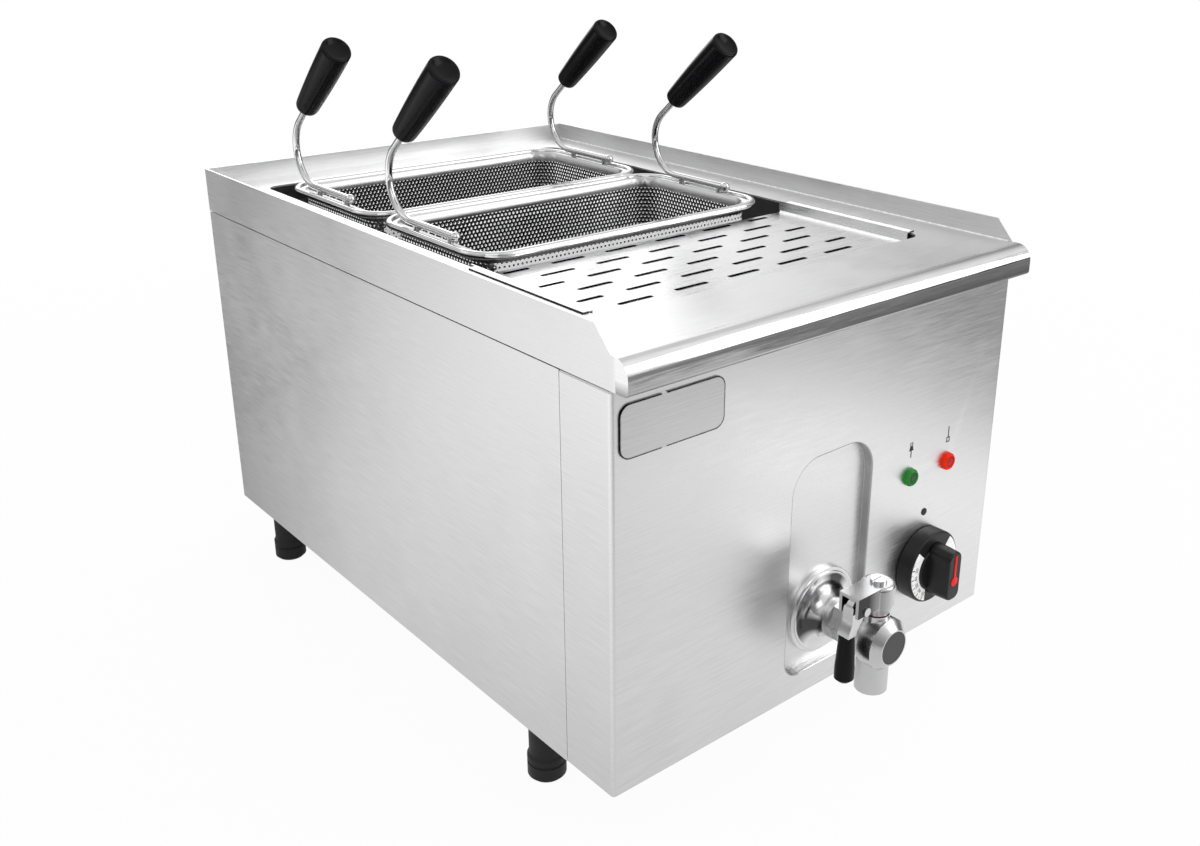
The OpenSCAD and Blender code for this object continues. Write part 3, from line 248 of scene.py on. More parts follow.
def plated(name, base, rough, grit=0.0, grain=900, arm=None, bell=None):
    """Polished plating, smooth or over a slightly grainy casting.

    The flat sides of an arm carry a painted dark reflection, which runs out between two values of x. A bell
    has painted dark reflections on its flanks between two radii about the tap's axis."""
    s = Finish(name)
    film = s.noise(FILM, FILM_DETAIL, FILM_ROUGH)
    light = 1.0
    # painted dark reflection on the flat sides, fading out along x
    if arm:
        aside = s.math("ABSOLUTE", s.along("Y", "Normal"))
        light = s.math("MAXIMUM", s.ramp(aside, *ARM_FACING, 1.0, 0.0),
                       s.ramp(s.along("X"), arm[0] * MM, arm[1] * MM, ARM_LIGHT, 1.0))
    # painted dark reflections on the bell's flanks
    if bell:
        inner, outer = bell
        x = s.math("SUBTRACT", s.along("X"), TAP_X * MM)
        z = s.math("SUBTRACT", s.along("Z"), TAP_Z * MM)
        out = s.math("SQRT", s.math("ADD", s.math("MULTIPLY", x, x), s.math("MULTIPLY", z, z)))
        angle = s.math("ARCTAN2", z, x)
        dark = 0.0
        for middle, spread in BELL_DARK:
            off = s.math("SUBTRACT", angle, math.radians(middle))
            off = s.math("ABSOLUTE", s.math("WRAP", off, math.pi, -math.pi))
            dark = s.math("MAXIMUM", dark, s.ramp(off, 0.0, math.radians(spread), BELL_PEAK, 0.0))
        dark = s.math("MULTIPLY", dark, s.ramp(out, outer * MM, (outer + BELL_OUT) * MM, 1.0, 0.0))
        dark = s.math("MULTIPLY", dark, s.ramp(out, (inner - BELL_IN) * MM, inner * MM, 0.0, 1.0))
        light = s.ramp(dark, 0.0, 1.0, 1.0, BELL_LIGHT)
    s.tint(base, s.sway(film, FILM_TONE), FILM_TONE, light)
    s.set(Roughness=s.spread(film, *(rough * share for share in FILM_DULL)), Metallic=1.0)
    if grit:
        s.bump(s.noise(grain, rough=CAST_ROUGH), grit, CAST_DEEP)
    return s.material


PATCHES, PATCH_TONE, PATCH_DULL = 60.0, 0.15, (0.85, 1.15)
SKIN_DEEP = 0.1


def moulded(name, base, rough, grain=0.05, fine=1400, gloss=0.5):
    """Moulded plastic with a fine skin and slightly uneven gloss."""
    s = Finish(name)
    patch = s.noise(PATCHES)
    s.tint(base, s.sway(patch, PATCH_TONE), PATCH_TONE)
    s.set(Roughness=s.spread(patch, *(rough * share for share in PATCH_DULL)), Specular_IOR_Level=gloss)
    s.bump(s.noise(fine), grain, SKIN_DEEP)
    return s.material


DEPTH_FINE, DEPTH_TONE, DEPTH_ROUGH, DEPTH_GLOSS = 260, 0.15, (0.20, 0.32), 0.15


def lit(name, base, glow, gloss=DEPTH_GLOSS, behind=None):
    """A surface that glows with painted light: clear coloured plastic, white print, the rim of a punched hole.

    With behind, painted shade keeps it dark, without glow, in front of that y."""
    s = Finish(name)
    depth = s.noise(DEPTH_FINE)
    light = 1.0
    if behind:
        edge = (behind + PANEL_Y) * MM
        light = s.ramp(s.along("Y"), edge - MM, edge + MM, 0.0, 1.0)
        glow = s.math("MULTIPLY", light, glow)
    s.tint(base, s.sway(depth, DEPTH_TONE), DEPTH_TONE, light)
    s.set(Roughness=s.spread(depth, *DEPTH_ROUGH), Specular_IOR_Level=gloss)
    # painted light: the surface glows without being a lamp
    s.set(Emission_Color=base, Emission_Strength=glow)
    return s.material


M = {
    "brushed_steel": brushed("steel_brushed", rgb(0.82, 0.82, 0.823), 0.37),
    # the deck's nose carries painted shade on its underside
    "deck_steel": brushed("steel_deck", rgb(0.82, 0.82, 0.823), 0.37, nose=0.13),
    "drawn_steel": brushed("steel_drawn", rgb(0.50, 0.50, 0.503), 0.40, 0.03),
    # the well's wall carries painted shade towards its top
    "well_steel": brushed("steel_well", rgb(0.50, 0.50, 0.503), 0.36, 0.04, shade_band=(290.0, 335.0)),
    "satin_steel": brushed("steel_satin", rgb(0.70, 0.70, 0.703), 0.36, 0.04),
    # the tray's slots and edges and the badge's border carry painted shade along their cuts
    "tray_steel": brushed("steel_tray", rgb(0.86, 0.86, 0.863), 0.30, 0.03, cut="Z"),
    "badge_steel": brushed("steel_badge", rgb(0.66, 0.66, 0.663), 0.36, 0.10, 0.08, cut="Y"),
    "tap_chrome": plated("chrome_tap", rgb(0.72, 0.72, 0.725), 0.22),
    # the bell carries painted dark reflections on its flanks
    "tap_bell": plated("chrome_bell", rgb(0.80, 0.80, 0.805), 0.20, bell=(15.0, 28.5)),
    "tap_cast": plated("chrome_cast", rgb(0.66, 0.66, 0.665), 0.24, 0.30),
    # the tap head's flat sides carry a painted dark reflection
    "tap_arm": plated("chrome_arm", rgb(0.62, 0.62, 0.625), 0.22, 0.30, arm=(-16.0, 5.0)),
    "lever_steel": brushed("steel_lever", rgb(0.78, 0.78, 0.785), 0.26, 0.03),
    "wire_chrome": plated("chrome_wire", rgb(0.76, 0.76, 0.765), 0.08),
    # painted shade: the basket sheet's inside is near black
    "basket_mesh": brushed("steel_mesh", rgb(0.055, 0.055, 0.056), 0.32, 0.05),
    "band_steel": brushed("steel_band", rgb(0.62, 0.62, 0.623), 0.30, 0.05),
    # painted light: a glowing outside for the strip under the basket rims and for the tray's lips
    "basket_outer": lit("steel_mesh_outer", rgb(0.88), 0.34),
    # painted highlight: the deck's bends glow
    "bend_steel": lit("steel_bend", rgb(0.86), 0.10),
    # painted glint on the hole rims, with painted shade at the front basket's front wall
    "hole_edge": lit("steel_hole_edge", rgb(0.92), 0.38, behind=228.0),
    "grip_black": moulded("grip_black", rgb(0.005, 0.005, 0.006), 0.18, 0.01, 700, 0.13),
    "foot_black": moulded("foot_black", rgb(0.012, 0.012, 0.013), 0.45, 0.12, 1400, 0.3),
    "knob_black": moulded("knob_black", rgb(0.010, 0.010, 0.011), 0.40, 0.10, 1400, 0.35),
    # the scale's white glows with painted light, so that it stays white in shade
    "scale_white": lit("scale_white", rgb(0.93, 0.93, 0.92), 0.15),
    "print_black": moulded("print_black", rgb(0.012), 0.50, 0.03),
    "pointer_red": moulded("pointer_red", rgb(0.76, 0.012, 0.010), 0.35, 0.03, 1400, 0.12),
    # the lenses glow with painted light, their rims lighter and brighter than their cores
    "lens_green": lit("lens_green", rgb(0.020, 0.19, 0.028), 0.18),
    "lens_green_core": lit("lens_green_core", rgb(0.016, 0.085, 0.018), 0.05),
    "lens_red": lit("lens_red", rgb(0.70, 0.024, 0.006), 0.20, gloss=0.06),
    "lens_red_core": lit("lens_red_core", rgb(0.37, 0.009, 0.004), 0.12),
    "disc_grey": moulded("disc_grey", rgb(0.045), 0.45, 0.35, 900),
    "seal_red": moulded("seal_red", rgb(0.10, 0.004, 0.004), 0.45, 0.10, 1400, 0.1),
    "brass": plated("brass", rgb(0.72, 0.52, 0.24), 0.24, 0.10),
    "copper": plated("copper", rgb(0.72, 0.40, 0.26), 0.26, 0.10),
    "element_steel": plated("element_steel", rgb(0.34, 0.33, 0.32), 0.38, 0.20),
    "housing_grey": moulded("housing_grey", rgb(0.20), 0.50, 0.15),
    "bright_zinc": plated("bright_zinc", rgb(0.74, 0.74, 0.73), 0.22, 0.08),
    "block_ivory": moulded("block_ivory", rgb(0.78, 0.74, 0.62), 0.45, 0.10),
}

# Carried-over solids

BEVEL = {  # how far sharp edges are rounded
    "tap_head": 1.1, "tap_body": 0.5, "tap_flange": 0.4, "tap_screw": 0.4, "lever_pin": 0.35, "lever_grip": 1.2,
    "foot_front_left": 0.5, "foot_front_right": 0.5, "foot_rear_left": 0.5, "foot_rear_right": 0.5,
    "top_deck": 0.5, "left_side_panel": 0.4, "right_side_panel": 0.4, "base_plate": 0.3, "tank": 0.3,
    "cable_gland": 0.4, "thermostat": 0.8, "terminal_block": 0.6,
}
OTHER = {  # finishes that aren't the slot's own
    "tap_head": "tap_arm", "tap_flange": "tap_bell", "tap_body": "tap_cast", "top_deck": "deck_steel",
    "tank": "well_steel", "front_basket_band": "band_steel", "rear_basket_band": "band_steel",
}
FLAT = ("drain_tray", "badge_plate", "rear_panel")  # shaded face by face
SHARP = math.radians(32)
EDGE_STEPS, EVEN_WEIGHT, WELD = 3, 60, 2e-6


def soften(o, bevel):
    """Rounds an object's sharp edges and shades it smooth."""
    if bevel:
        edge = o.modifiers.new("edge", "BEVEL")
        edge.width = bevel * MM
        edge.segments = EDGE_STEPS
        edge.limit_method = "ANGLE"
        edge.angle_limit = SHARP
    even = o.modifiers.new("even", "WEIGHTED_NORMAL")
    even.weight = EVEN_WEIGHT


for part in frame["record"]["subparts"]:
    name = part["node"]
    o = nodes[name]
    o.data.materials.clear()
    o.data.materials.append(M[OTHER.get(name, part["material_slot"])])
    for face in o.data.polygons:
        face.use_smooth = name not in FLAT
    weld = o.modifiers.new("weld", "WELD")
    weld.merge_threshold = WELD
    if name not in FLAT:
        soften(o, BEVEL.get(name, 0))

# Pieces


def piece(name, shape, body, slot, *materials, smooth=True, face_slots=None):
    """A mesh in metres, given as its points and faces, that rides on a body."""
    verts, faces = shape
    mesh = bpy.data.meshes.new(name)
    mesh.from_pydata([tuple(v) for v in verts], [], faces)
    for m in materials:
        mesh.materials.append(m)
    for i, face in enumerate(mesh.polygons):
        face.use_smooth = smooth
        if face_slots:
            face.material_index = face_slots[i]
    o = bpy.data.objects.new(name, mesh)
    scene.collection.objects.link(o)
    bm = bmesh.new()
    bm.from_mesh(mesh)
    bmesh.ops.recalc_face_normals(bm, faces=bm.faces)
    bm.to_mesh(mesh)
    bm.free()
    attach(o, body)
    return o


def joined(*shapes):
    """Several shapes as one."""
    verts, faces = [], []
    for more_verts, more_faces in shapes:
        faces += [tuple(i + len(verts) for i in f) for f in more_faces]
        verts += more_verts
    return verts, faces


def lathe(profile, origin, axis, turns):
    """A profile of (along, radius) turned round an axis. Ends with radius 0 close."""
    axis = Vector(axis).normalized()
    side = axis.orthogonal().normalized()
    other = axis.cross(side)
    verts, rings = [], []
    for along, radius in profile:
        ring = []
        for k in range(turns if radius else 1):
            a = 2 * math.pi * k / turns
            ring.append(len(verts))
            verts.append(origin + (axis * along + (side * math.cos(a) + other * math.sin(a)) * radius) * MM)
        rings.append(ring)
    faces = []
    for low, high in zip(rings, rings[1:]):
        for k in range(turns):
            n = (k + 1) % turns
            corners = (low[k % len(low)], low[n % len(low)], high[n % len(high)], high[k % len(high)])
            faces.append(tuple(dict.fromkeys(corners)))
    return verts, faces


def prism(outline, near, far):
    """An outline of (x, z) from the front, run from y near to y far."""
    count = len(outline)
    verts = [at(x, y, z) for y in (near, far) for x, z in outline]
    faces = [tuple(range(count)), tuple(range(2 * count - 1, count - 1, -1))]
    faces += [(k, (k + 1) % count, (k + 1) % count + count, k + count) for k in range(count)]
    return verts, faces


def loft(rings):
    """A closed skin over rings with as many points each."""
    count = len(rings[0])
    verts = [v for ring in rings for v in ring]
    faces = [tuple(range(count)), tuple(range(len(verts) - 1, len(verts) - count - 1, -1))]
    for j in range(len(rings) - 1):
        for k in range(count):
            n = (k + 1) % count
            faces.append((j * count + k, j * count + n, (j + 1) * count + n, (j + 1) * count + k))
    return verts, faces


def turn(centre, radius, start, end, steps):
    """Points of an arc about a centre, angles in degrees."""
    points = []
    for i in range(steps + 1):
        a = math.radians(start + (end - start) * i / steps)
        points.append((centre[0] + radius * math.cos(a), centre[1] + radius * math.sin(a)))
    return points


# Front panel: one sheet with rolled edges round the pressed niche

HALF_W, WRAP, BEND, LEAST_BEND, SHEET_T = 200.0, 50.0, 3.0, 0.05, 1.2
Z_BODY, Z_PANEL_TOP, FLANGE, FLANGE_BEND = 50.0, 339.2, 10.0, 1.5
NICHE_X, NICHE_W, NICHE_LOW, NICHE_TOP, NICHE_DEEP = 4.0, 84.0, 70.0, 243.0, 7.0
NICHE_R_LOW, NICHE_R_TOP = 15.0, 26.0
NICHE_ROLL, NICHE_FILLET = 1.3, 0.9
CONTROL_X, KNOB_Z, LAMP_Z, LAMP_OUT = 115.0, 114.5, 195.5, 23.0
TAIL_HOLE, SHAFT_HOLE, LAMP_HOLE, HOLE_POINTS = 12.0, 4.2, 6.1, 24
CORNER_STEPS, BEND_STEPS = 12, 6
FLANGE_ARC = [math.radians(d) for d in (0, 30, 60, 90)]
ROLL_ARC = [math.radians(d) for d in range(0, 91, 18)]


def niche_loop(grow):
    """Niche outline of (x, z), grown all round."""
    half, low, top = NICHE_W / 2 + grow, NICHE_LOW - grow, NICHE_TOP + grow
    points = []
    for side, z, radius, start in ((1, low, NICHE_R_LOW, 270), (1, top, NICHE_R_TOP, 0),
                                   (-1, top, NICHE_R_TOP, 90), (-1, low, NICHE_R_LOW, 180)):
        r = radius + grow
        up = 1 if z == low else -1
        points += turn((NICHE_X + side * (half - r), z + up * r), r, start, start + 90, CORNER_STEPS)
    return points


def wrap_path(inset):
    """Plan of the sheet as (x, y), from the left wrap's rear edge round to the right one's."""
    r = max(BEND - inset, LEAST_BEND)
    left = turn((-HALF_W + inset + r, inset + r), r, 180, 270, BEND_STEPS)
    left = [(-HALF_W + inset, WRAP)] + left
    return left + [(-x, y) for x, y in reversed(left)]


def front_sheet():
    """The sheet's outside, with the finish of each face: 0 for the sheet, 1 for the niche's wall."""
    bm = bmesh.new()
    rows = [(FLANGE, Z_BODY)]
    rows += [(FLANGE_BEND - FLANGE_BEND * math.sin(a), Z_BODY + FLANGE_BEND - FLANGE_BEND * math.cos(a))
             for a in FLANGE_ARC]
    rows += [(inset, Z_BODY + Z_PANEL_TOP - z) for inset, z in reversed(rows)]
    grid = [[bm.verts.new(at(x, y, z)) for x, y in wrap_path(inset)] for inset, z in rows]
    low = len(rows) // 2 - 1
    middle = len(grid[0]) // 2 - 1
    for j, (row, above) in enumerate(zip(grid, grid[1:])):
        for i in range(len(row) - 1):
            if not (j == low and i == middle):
                bm.faces.new((row[i], row[i + 1], above[i + 1], above[i]))

    loops = [(NICHE_ROLL - NICHE_ROLL * math.sin(a), NICHE_ROLL - NICHE_ROLL * math.cos(a)) for a in ROLL_ARC]
    loops += [(NICHE_FILLET * math.cos(a) - NICHE_FILLET,
               NICHE_DEEP - NICHE_FILLET + NICHE_FILLET * math.sin(a)) for a in ROLL_ARC]
    rings = [[bm.verts.new(at(x, depth, z)) for x, z in niche_loop(grow)] for grow, depth in loops]
    for ring, deeper in zip(rings, rings[1:]):
        for k in range(len(ring)):
            n = (k + 1) % len(ring)
            wall = bm.faces.new((ring[k], ring[n], deeper[n], deeper[k]))
            wall.material_index = 0 if n == 0 else 1

    def hole(x, z, radius, depth):
        points = turn((x, z), radius, 0, 360 - 360 / HOLE_POINTS, HOLE_POINTS - 1)
        return [bm.verts.new(at(px, depth, pz)) for px, pz in points]

    def fill(*borders):
        edges = []
        for border in borders:
            for k in range(len(border)):
                pair = (border[k], border[(k + 1) % len(border)])
                edges.append(bm.edges.get(pair) or bm.edges.new(pair))
        bmesh.ops.triangle_fill(bm, use_beauty=True, edges=edges)

    corners = [grid[low][middle], grid[low][middle + 1], grid[low + 1][middle + 1], grid[low + 1][middle]]
    fill(corners, rings[0], hole(CONTROL_X, KNOB_Z, SHAFT_HOLE, 0),
         hole(CONTROL_X - LAMP_OUT, LAMP_Z, LAMP_HOLE, 0), hole(CONTROL_X + LAMP_OUT, LAMP_Z, LAMP_HOLE, 0))
    fill(rings[-1], hole(TAP_X, TAP_Z, TAIL_HOLE, NICHE_DEEP))
    bmesh.ops.recalc_face_normals(bm, faces=bm.faces)
    front = max(bm.faces, key=lambda f: f.calc_area())
    if front.normal.y > 0:
        bmesh.ops.reverse_faces(bm, faces=bm.faces)
    bm.verts.index_update()
    shape = [v.co.copy() for v in bm.verts], [tuple(v.index for v in f.verts) for f in bm.faces]
    kinds = [f.material_index for f in bm.faces]
    bm.free()
    return shape, kinds


shape, kinds = front_sheet()
skin = piece("front_skin", shape, "cooker", "brushed_steel", M["brushed_steel"], M["drawn_steel"],
             face_slots=kinds)
if max(skin.data.polygons, key=lambda f: f.area).normal.y > 0:
    skin.data.flip_normals()
thick = skin.modifiers.new("thick", "SOLIDIFY")
thick.thickness = SHEET_T * MM
thick.offset = -1
soften(skin, 0)
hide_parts("front_panel")

# Baskets

WALL_W, WALL_D, WALL_R, WALL_T = 275.0, 140.0, 20.0, 1.0
REACH_X, REACH_Y = WALL_W / 2 - WALL_R, WALL_D / 2 - WALL_R  # where the corners' bends start
Z_FLOOR, Z_WALL, Z_BAND = 212.8, 213.8, 355.0
BASKETS = {"front_basket": 212.0, "rear_basket": 377.0}  # y of each rim's front
RIM_D = 162.0
COLUMNS, ROWS = 200, 41
HOLE_OUT, HOLE_IN = 1.05, 1.26  # a hole's radius on the outside and on the inside
TOP_ROWS = 5  # rows under the rim that glow with painted light at the front
WALL_LENGTH = 2 * (WALL_W + WALL_D - 4 * WALL_R) + 2 * math.pi * WALL_R
PITCH = WALL_LENGTH / COLUMNS
ROW = (Z_BAND - Z_WALL) / (ROWS - 1 / 3)
FLOOR_COLUMNS, FLOOR_ROWS = int(WALL_W / PITCH), int(WALL_D / ROW)
CELL = [(0, 2 / 3), (-0.5, 1 / 3), (-0.5, -1 / 3), (0, -2 / 3), (0.5, -1 / 3), (0.5, 1 / 3)]
KEY_STEPS = 50  # points closer than one of these steps to the millimetre are the same
# the sheet's inside is painted near black as shade
MESH = [M[key] for key in ("basket_mesh", "hole_edge", "basket_outer", "band_steel")]
INSIDE, HOLE_EDGE, GLOW_STRIP, OUTSIDE = range(len(MESH))


def along_wall(s):
    """Point and outward direction at length s round the wall's outside, from the middle of the front."""
    bend = math.pi * WALL_R / 2
    runs = [REACH_X, bend, 2 * REACH_Y, bend, 2 * REACH_X, bend, 2 * REACH_Y, bend, REACH_X]
    x, y, heading = 0.0, -WALL_D / 2, 0.0
    for i, run in enumerate(runs):
        ahead = (math.cos(heading), math.sin(heading))
        cx, cy = x - ahead[1] * WALL_R, y + ahead[0] * WALL_R
        if s <= run or i == len(runs) - 1:
            if i % 2 == 0:
                return (x + ahead[0] * s, y + ahead[1] * s), (ahead[1], -ahead[0])
            a = heading - math.pi / 2 + s / WALL_R
            return (cx + WALL_R * math.cos(a), cy + WALL_R * math.sin(a)), (math.cos(a), math.sin(a))
        if i % 2 == 0:
            x, y = x + ahead[0] * run, y + ahead[1] * run
        else:
            heading += math.pi / 2
            x, y = cx + WALL_R * math.sin(heading), cy - WALL_R * math.cos(heading)
        s -= run


def punched(place, columns, rows, around, keep, painted_glow):
    """A sheet of six-sided cells, each with a hole that opens to the inside.

    place(u, v, depth) gives a point, keep(u, v) says which cells there are, and the last test says where the
    outside glows with painted light. Around says that the last column meets the first."""
    verts, faces, kinds, known = [], [], [], {}
    corners = len(CELL)

    def vertex(u, v, depth):
        step = round(u * KEY_STEPS)
        if around:
            step %= round(columns * PITCH * KEY_STEPS)
        key = (step, round(v * KEY_STEPS), depth)
        if key not in known:
            known[key] = len(verts)
            verts.append(place(u, v, depth))
        return known[key]

    for j in range(rows):
        for i in range(columns):
            u, v = (i + 0.5 * (j % 2)) * PITCH, j * ROW
            if not keep(u, v):
                continue
            rim = [(u + a * PITCH, v + b * ROW) for a, b in CELL]
            outer = [[vertex(a, b, d) for a, b in rim] for d in (0, 1)]
            holes = [turn((u, v), r, 90, 390, corners - 1) for r in (HOLE_OUT, HOLE_IN)]
            inner = [[vertex(a, b, d) for a, b in hole] for d, hole in enumerate(holes)]
            for k in range(corners):
                n = (k + 1) % corners
                faces.append((outer[0][k], outer[0][n], inner[0][n], inner[0][k]))
                faces.append((outer[1][n], outer[1][k], inner[1][k], inner[1][n]))
                faces.append((inner[0][k], inner[0][n], inner[1][n], inner[1][k]))
                # painted light: the outside of the strip under the rim glows
                kinds += [GLOW_STRIP if painted_glow(u, v) else OUTSIDE, INSIDE, HOLE_EDGE]
    return (verts, faces), kinds


def on_wall(middle):
    """Places points on the wall of a basket about y middle."""
    def place(u, v, depth):
        (x, y), (nx, ny) = along_wall(u % WALL_LENGTH)
        z = min(max(Z_WALL + 2 * ROW / 3 + v, Z_WALL), Z_BAND)
        return at(x - nx * depth * WALL_T, middle + y - ny * depth * WALL_T, z)

    return place


def below_rim(u, v):
    return v >= (ROWS - TOP_ROWS) * ROW and min(u, WALL_LENGTH - u) < WALL_W / 2 - WALL_R / 2


def floor_point(u, v):
    """A place on the floor's sheet as (x, y) from the basket's middle."""
    return u - (FLOOR_COLUMNS - 0.5) * PITCH / 2, v - (FLOOR_ROWS - 1) * ROW / 2


def past_reach(x, y):
    """How far a point lies out from where the corners' bends start."""
    return max(0, abs(x) - REACH_X), max(0, abs(y) - REACH_Y)


def on_floor(middle):
    """Places points on the floor of a basket about y middle, held within its rounded outline."""
    def place(u, v, depth):
        x, y = floor_point(u, v)
        x, y = max(-WALL_W / 2, min(WALL_W / 2, x)), max(-WALL_D / 2, min(WALL_D / 2, y))
        over_x, over_y = past_reach(x, y)
        past = math.hypot(over_x, over_y)
        if past > WALL_R:
            x = math.copysign(REACH_X + over_x * WALL_R / past, x)
            y = math.copysign(REACH_Y + over_y * WALL_R / past, y)
        return at(x, middle + y, Z_FLOOR + depth)

    return place


def on_the_floor(u, v):
    return math.hypot(*past_reach(*floor_point(u, v))) < WALL_R - HOLE_IN


for basket, front in BASKETS.items():
    middle = front + RIM_D / 2
    shape, kinds = punched(on_wall(middle), COLUMNS, ROWS, True, lambda u, v: True, below_rim)
    wall = piece(basket + "_mesh_wall", shape, basket, "basket_mesh", *MESH, smooth=False, face_slots=kinds)
    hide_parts(basket + "_long_walls", basket + "_end_walls", basket + "_corners")
    shape, kinds = punched(on_floor(middle), FLOOR_COLUMNS, FLOOR_ROWS, False, on_the_floor, lambda u, v: False)
    base = piece(basket + "_mesh_floor", shape, basket, "basket_mesh", *MESH, smooth=False, face_slots=kinds)
    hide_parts(basket + "_bottom")

# Bends of the tray's flanges and of the deck's upstands, which the sheet's own solids leave sharp. They glow
# with painted highlights

Z_DECK, Z_TRAY, TRAY_IN, LIP_OUT = 362.5, 353.5, 158.0, 166.0
TRAY_NEAR, LIP_FAR, TRAY_FAR = 70.0, 202.0, 208.5
TRAY_FOLD, LIP_LOW, LIP_HIGH = 2.2, 0.4, 1.1
DECK_IN, DECK_NEAR, DECK_FAR, DECK_FOLD = 198.5, 4.0, 584.0, 1.0
FOLD_STEPS, LIP_STEPS = 8, 16
SINK = 0.3  # how far a fillet's back lies inside the sheets it joins
SIDES = (-1, 1)


def fold(x, z, radius, near, far, side):
    """A fillet in the corner between a floor at z and a wall at x, on the side of the middle."""
    arc = turn((x - radius, z + radius), radius, 270, 360, FOLD_STEPS)
    return prism([(side * px, pz) for px, pz in arc + [(x + SINK, z - SINK)]], near, far)


def lip(side):
    """The rounded top of a tray's flange."""
    middle, reach = (TRAY_IN + LIP_OUT) / 2, (LIP_OUT - TRAY_IN) / 2
    arch = [(middle + reach * a, Z_DECK + LIP_LOW + LIP_HIGH * b) for a, b in turn((0, 0), 1, 0, 180, LIP_STEPS)]
    return prism([(side * px, pz) for px, pz in arch], TRAY_NEAR, LIP_FAR)


tray_folds = [fold(TRAY_IN, Z_TRAY, TRAY_FOLD, TRAY_NEAR, TRAY_FAR, side) for side in SIDES]
tray_folds += [lip(side) for side in SIDES]
bends = piece("tray_bends", joined(*tray_folds), "drain_tray", "tray_steel", M["basket_outer"])
soften(bends, 0)
deck_folds = [fold(DECK_IN, Z_DECK, DECK_FOLD, DECK_NEAR, DECK_FAR, side) for side in SIDES]
bends = piece("deck_bends", joined(*deck_folds), "cooker", "brushed_steel", M["bend_steel"])
soften(bends, 0)

# Grips of the basket handles

HANDLE_X, Z_HANDLE = 140.0, 370.0
ARC_START, ARC_R, ARC_BEND, NECK = 113.0, 31.0, 140.0, 22.0
GRIP_L, GRIP_R1, GRIP_R2, GRIP_SWELL, WIRE_R = 85.0, 9.75, 12.6, 0.6, 3.0
GRIP_FOOT, GRIP_TOP = 2.6, 1.8  # roundings at the wire and at the end
GRIP_STATIONS = (5, 12, 20, 30, 40, 50, 60, 70, 78, 82.5)
GRIP_DISH = ((0.15, 10.2), (0.7, 9.5), (1.5, 7.2), (2.2, 4.0), (2.4, 0))  # depth and radius of the end
GRIP_TURNS = 40


def grip_profile():
    """A grip that swells towards its dished end, as (along, radius) from the wire."""
    points = [(0, WIRE_R), (0, GRIP_R1 - GRIP_FOOT)]
    for a in map(math.radians, (20, 40, 60, 80)):
        points.append((GRIP_FOOT - GRIP_FOOT * math.cos(a), GRIP_R1 - GRIP_FOOT + GRIP_FOOT * math.sin(a)))
    for along in GRIP_STATIONS:
        share = along / GRIP_L
        points.append((along, GRIP_R1 + (GRIP_R2 - GRIP_R1) * share + 4 * GRIP_SWELL * share * (1 - share)))
    for a in map(math.radians, (10, 35, 60, 90)):
        points.append((GRIP_L - GRIP_TOP + GRIP_TOP * math.sin(a), GRIP_R2 - GRIP_TOP + GRIP_TOP * math.cos(a)))
    return points + [(GRIP_L - depth, radius) for depth, radius in GRIP_DISH]


lean = math.radians(ARC_BEND - 90)
for basket, front in BASKETS.items():
    for side, word in zip(SIDES, ("left", "right")):
        start = at(side * HANDLE_X, front + ARC_START + ARC_R * math.cos(lean) - NECK * math.sin(lean),
                   Z_HANDLE + ARC_R + ARC_R * math.sin(lean) + NECK * math.cos(lean))
        shape = lathe(grip_profile(), start, (0, -math.sin(lean), math.cos(lean)), GRIP_TURNS)
        grip = piece(f"{basket}_grip_{word}", shape, basket, "grip_black", M["grip_black"])
        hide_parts(basket + "_grips")

# Pilot lamps: a faceted rim round a darker core, both glowing with painted light, the rim the more

FORWARD = (0, -1, 0)
LAMP_RIM = ((0, 7.2), (2.6, 7.1), (3.3, 6.8), (4.4, 5.9), (4.5, 5.5), (4.3, 4.9), (3.7, 4.6))
LAMP_CORE = ((3.7, 4.6), (3.95, 3.6), (4.1, 1.8), (4.15, 0))
RIM_FACETS, CORE_TURNS = 16, 32

for side, word in zip(SIDES, ("green", "red")):
    where = at(CONTROL_X + side * LAMP_OUT, 0, LAMP_Z)
    rim = lathe(LAMP_RIM, where, FORWARD, RIM_FACETS)
    core = lathe(LAMP_CORE, where, FORWARD, CORE_TURNS)
    lamp = piece("lamp_lens_" + word, joined(rim, core), "cooker", "lens_" + word, M["lens_" + word],
                 M["lens_" + word + "_core"], smooth=False,
                 face_slots=[0] * len(rim[1]) + [1] * len(core[1]))
    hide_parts("lamp_" + word)

# Knob: a skirt, a low boss and a rounded grip

KNOB_R, KNOB_BACK, SKIRT_FACE, KNOB_FACE = 30.0, -0.5, -14.0, -34.0
SKIRT_H = KNOB_BACK - SKIRT_FACE
GRIP_HALF_W, GRIP_HALF_H, GRIP_CORNER, GRIP_STEPS = 9.0, 21.6, 7.5, 8
BOSS_R, BOSS_H = 18.6, 1.8
SCALE_R, SCALE_W, SCALE_T = 28.0, 9.0, 0.3
SCALE_FROM, SCALE_TO, SCALE_STEPS = 22, 50, 10  # the plain end of the printed scale, in degrees
DIAL = (CONTROL_X, KNOB_Z)
KNOB_GRIP = (  # back from the knob's face, drawn in
    (20.5, 0), (18.5, 0), (4.0, 0.8), (1.6, 1.0), (0.9, 1.2), (0.4, 1.6), (0.1, 2.1), (0, 2.7))
KNOB_SKIRT = (  # forward from the knob's back, radius
    (0, 0), (0, 29.2), (0.4, 29.8), (1.2, KNOB_R), (11.6, KNOB_R), (12.6, 29.7), (13.2, 29.1),
    (SKIRT_H, 28.3), (SKIRT_H, BOSS_R), (SKIRT_H + BOSS_H - 0.6, BOSS_R - 0.1),
    (SKIRT_H + BOSS_H, BOSS_R - 0.8), (SKIRT_H + BOSS_H, 0))
KNOB_TURNS = 72


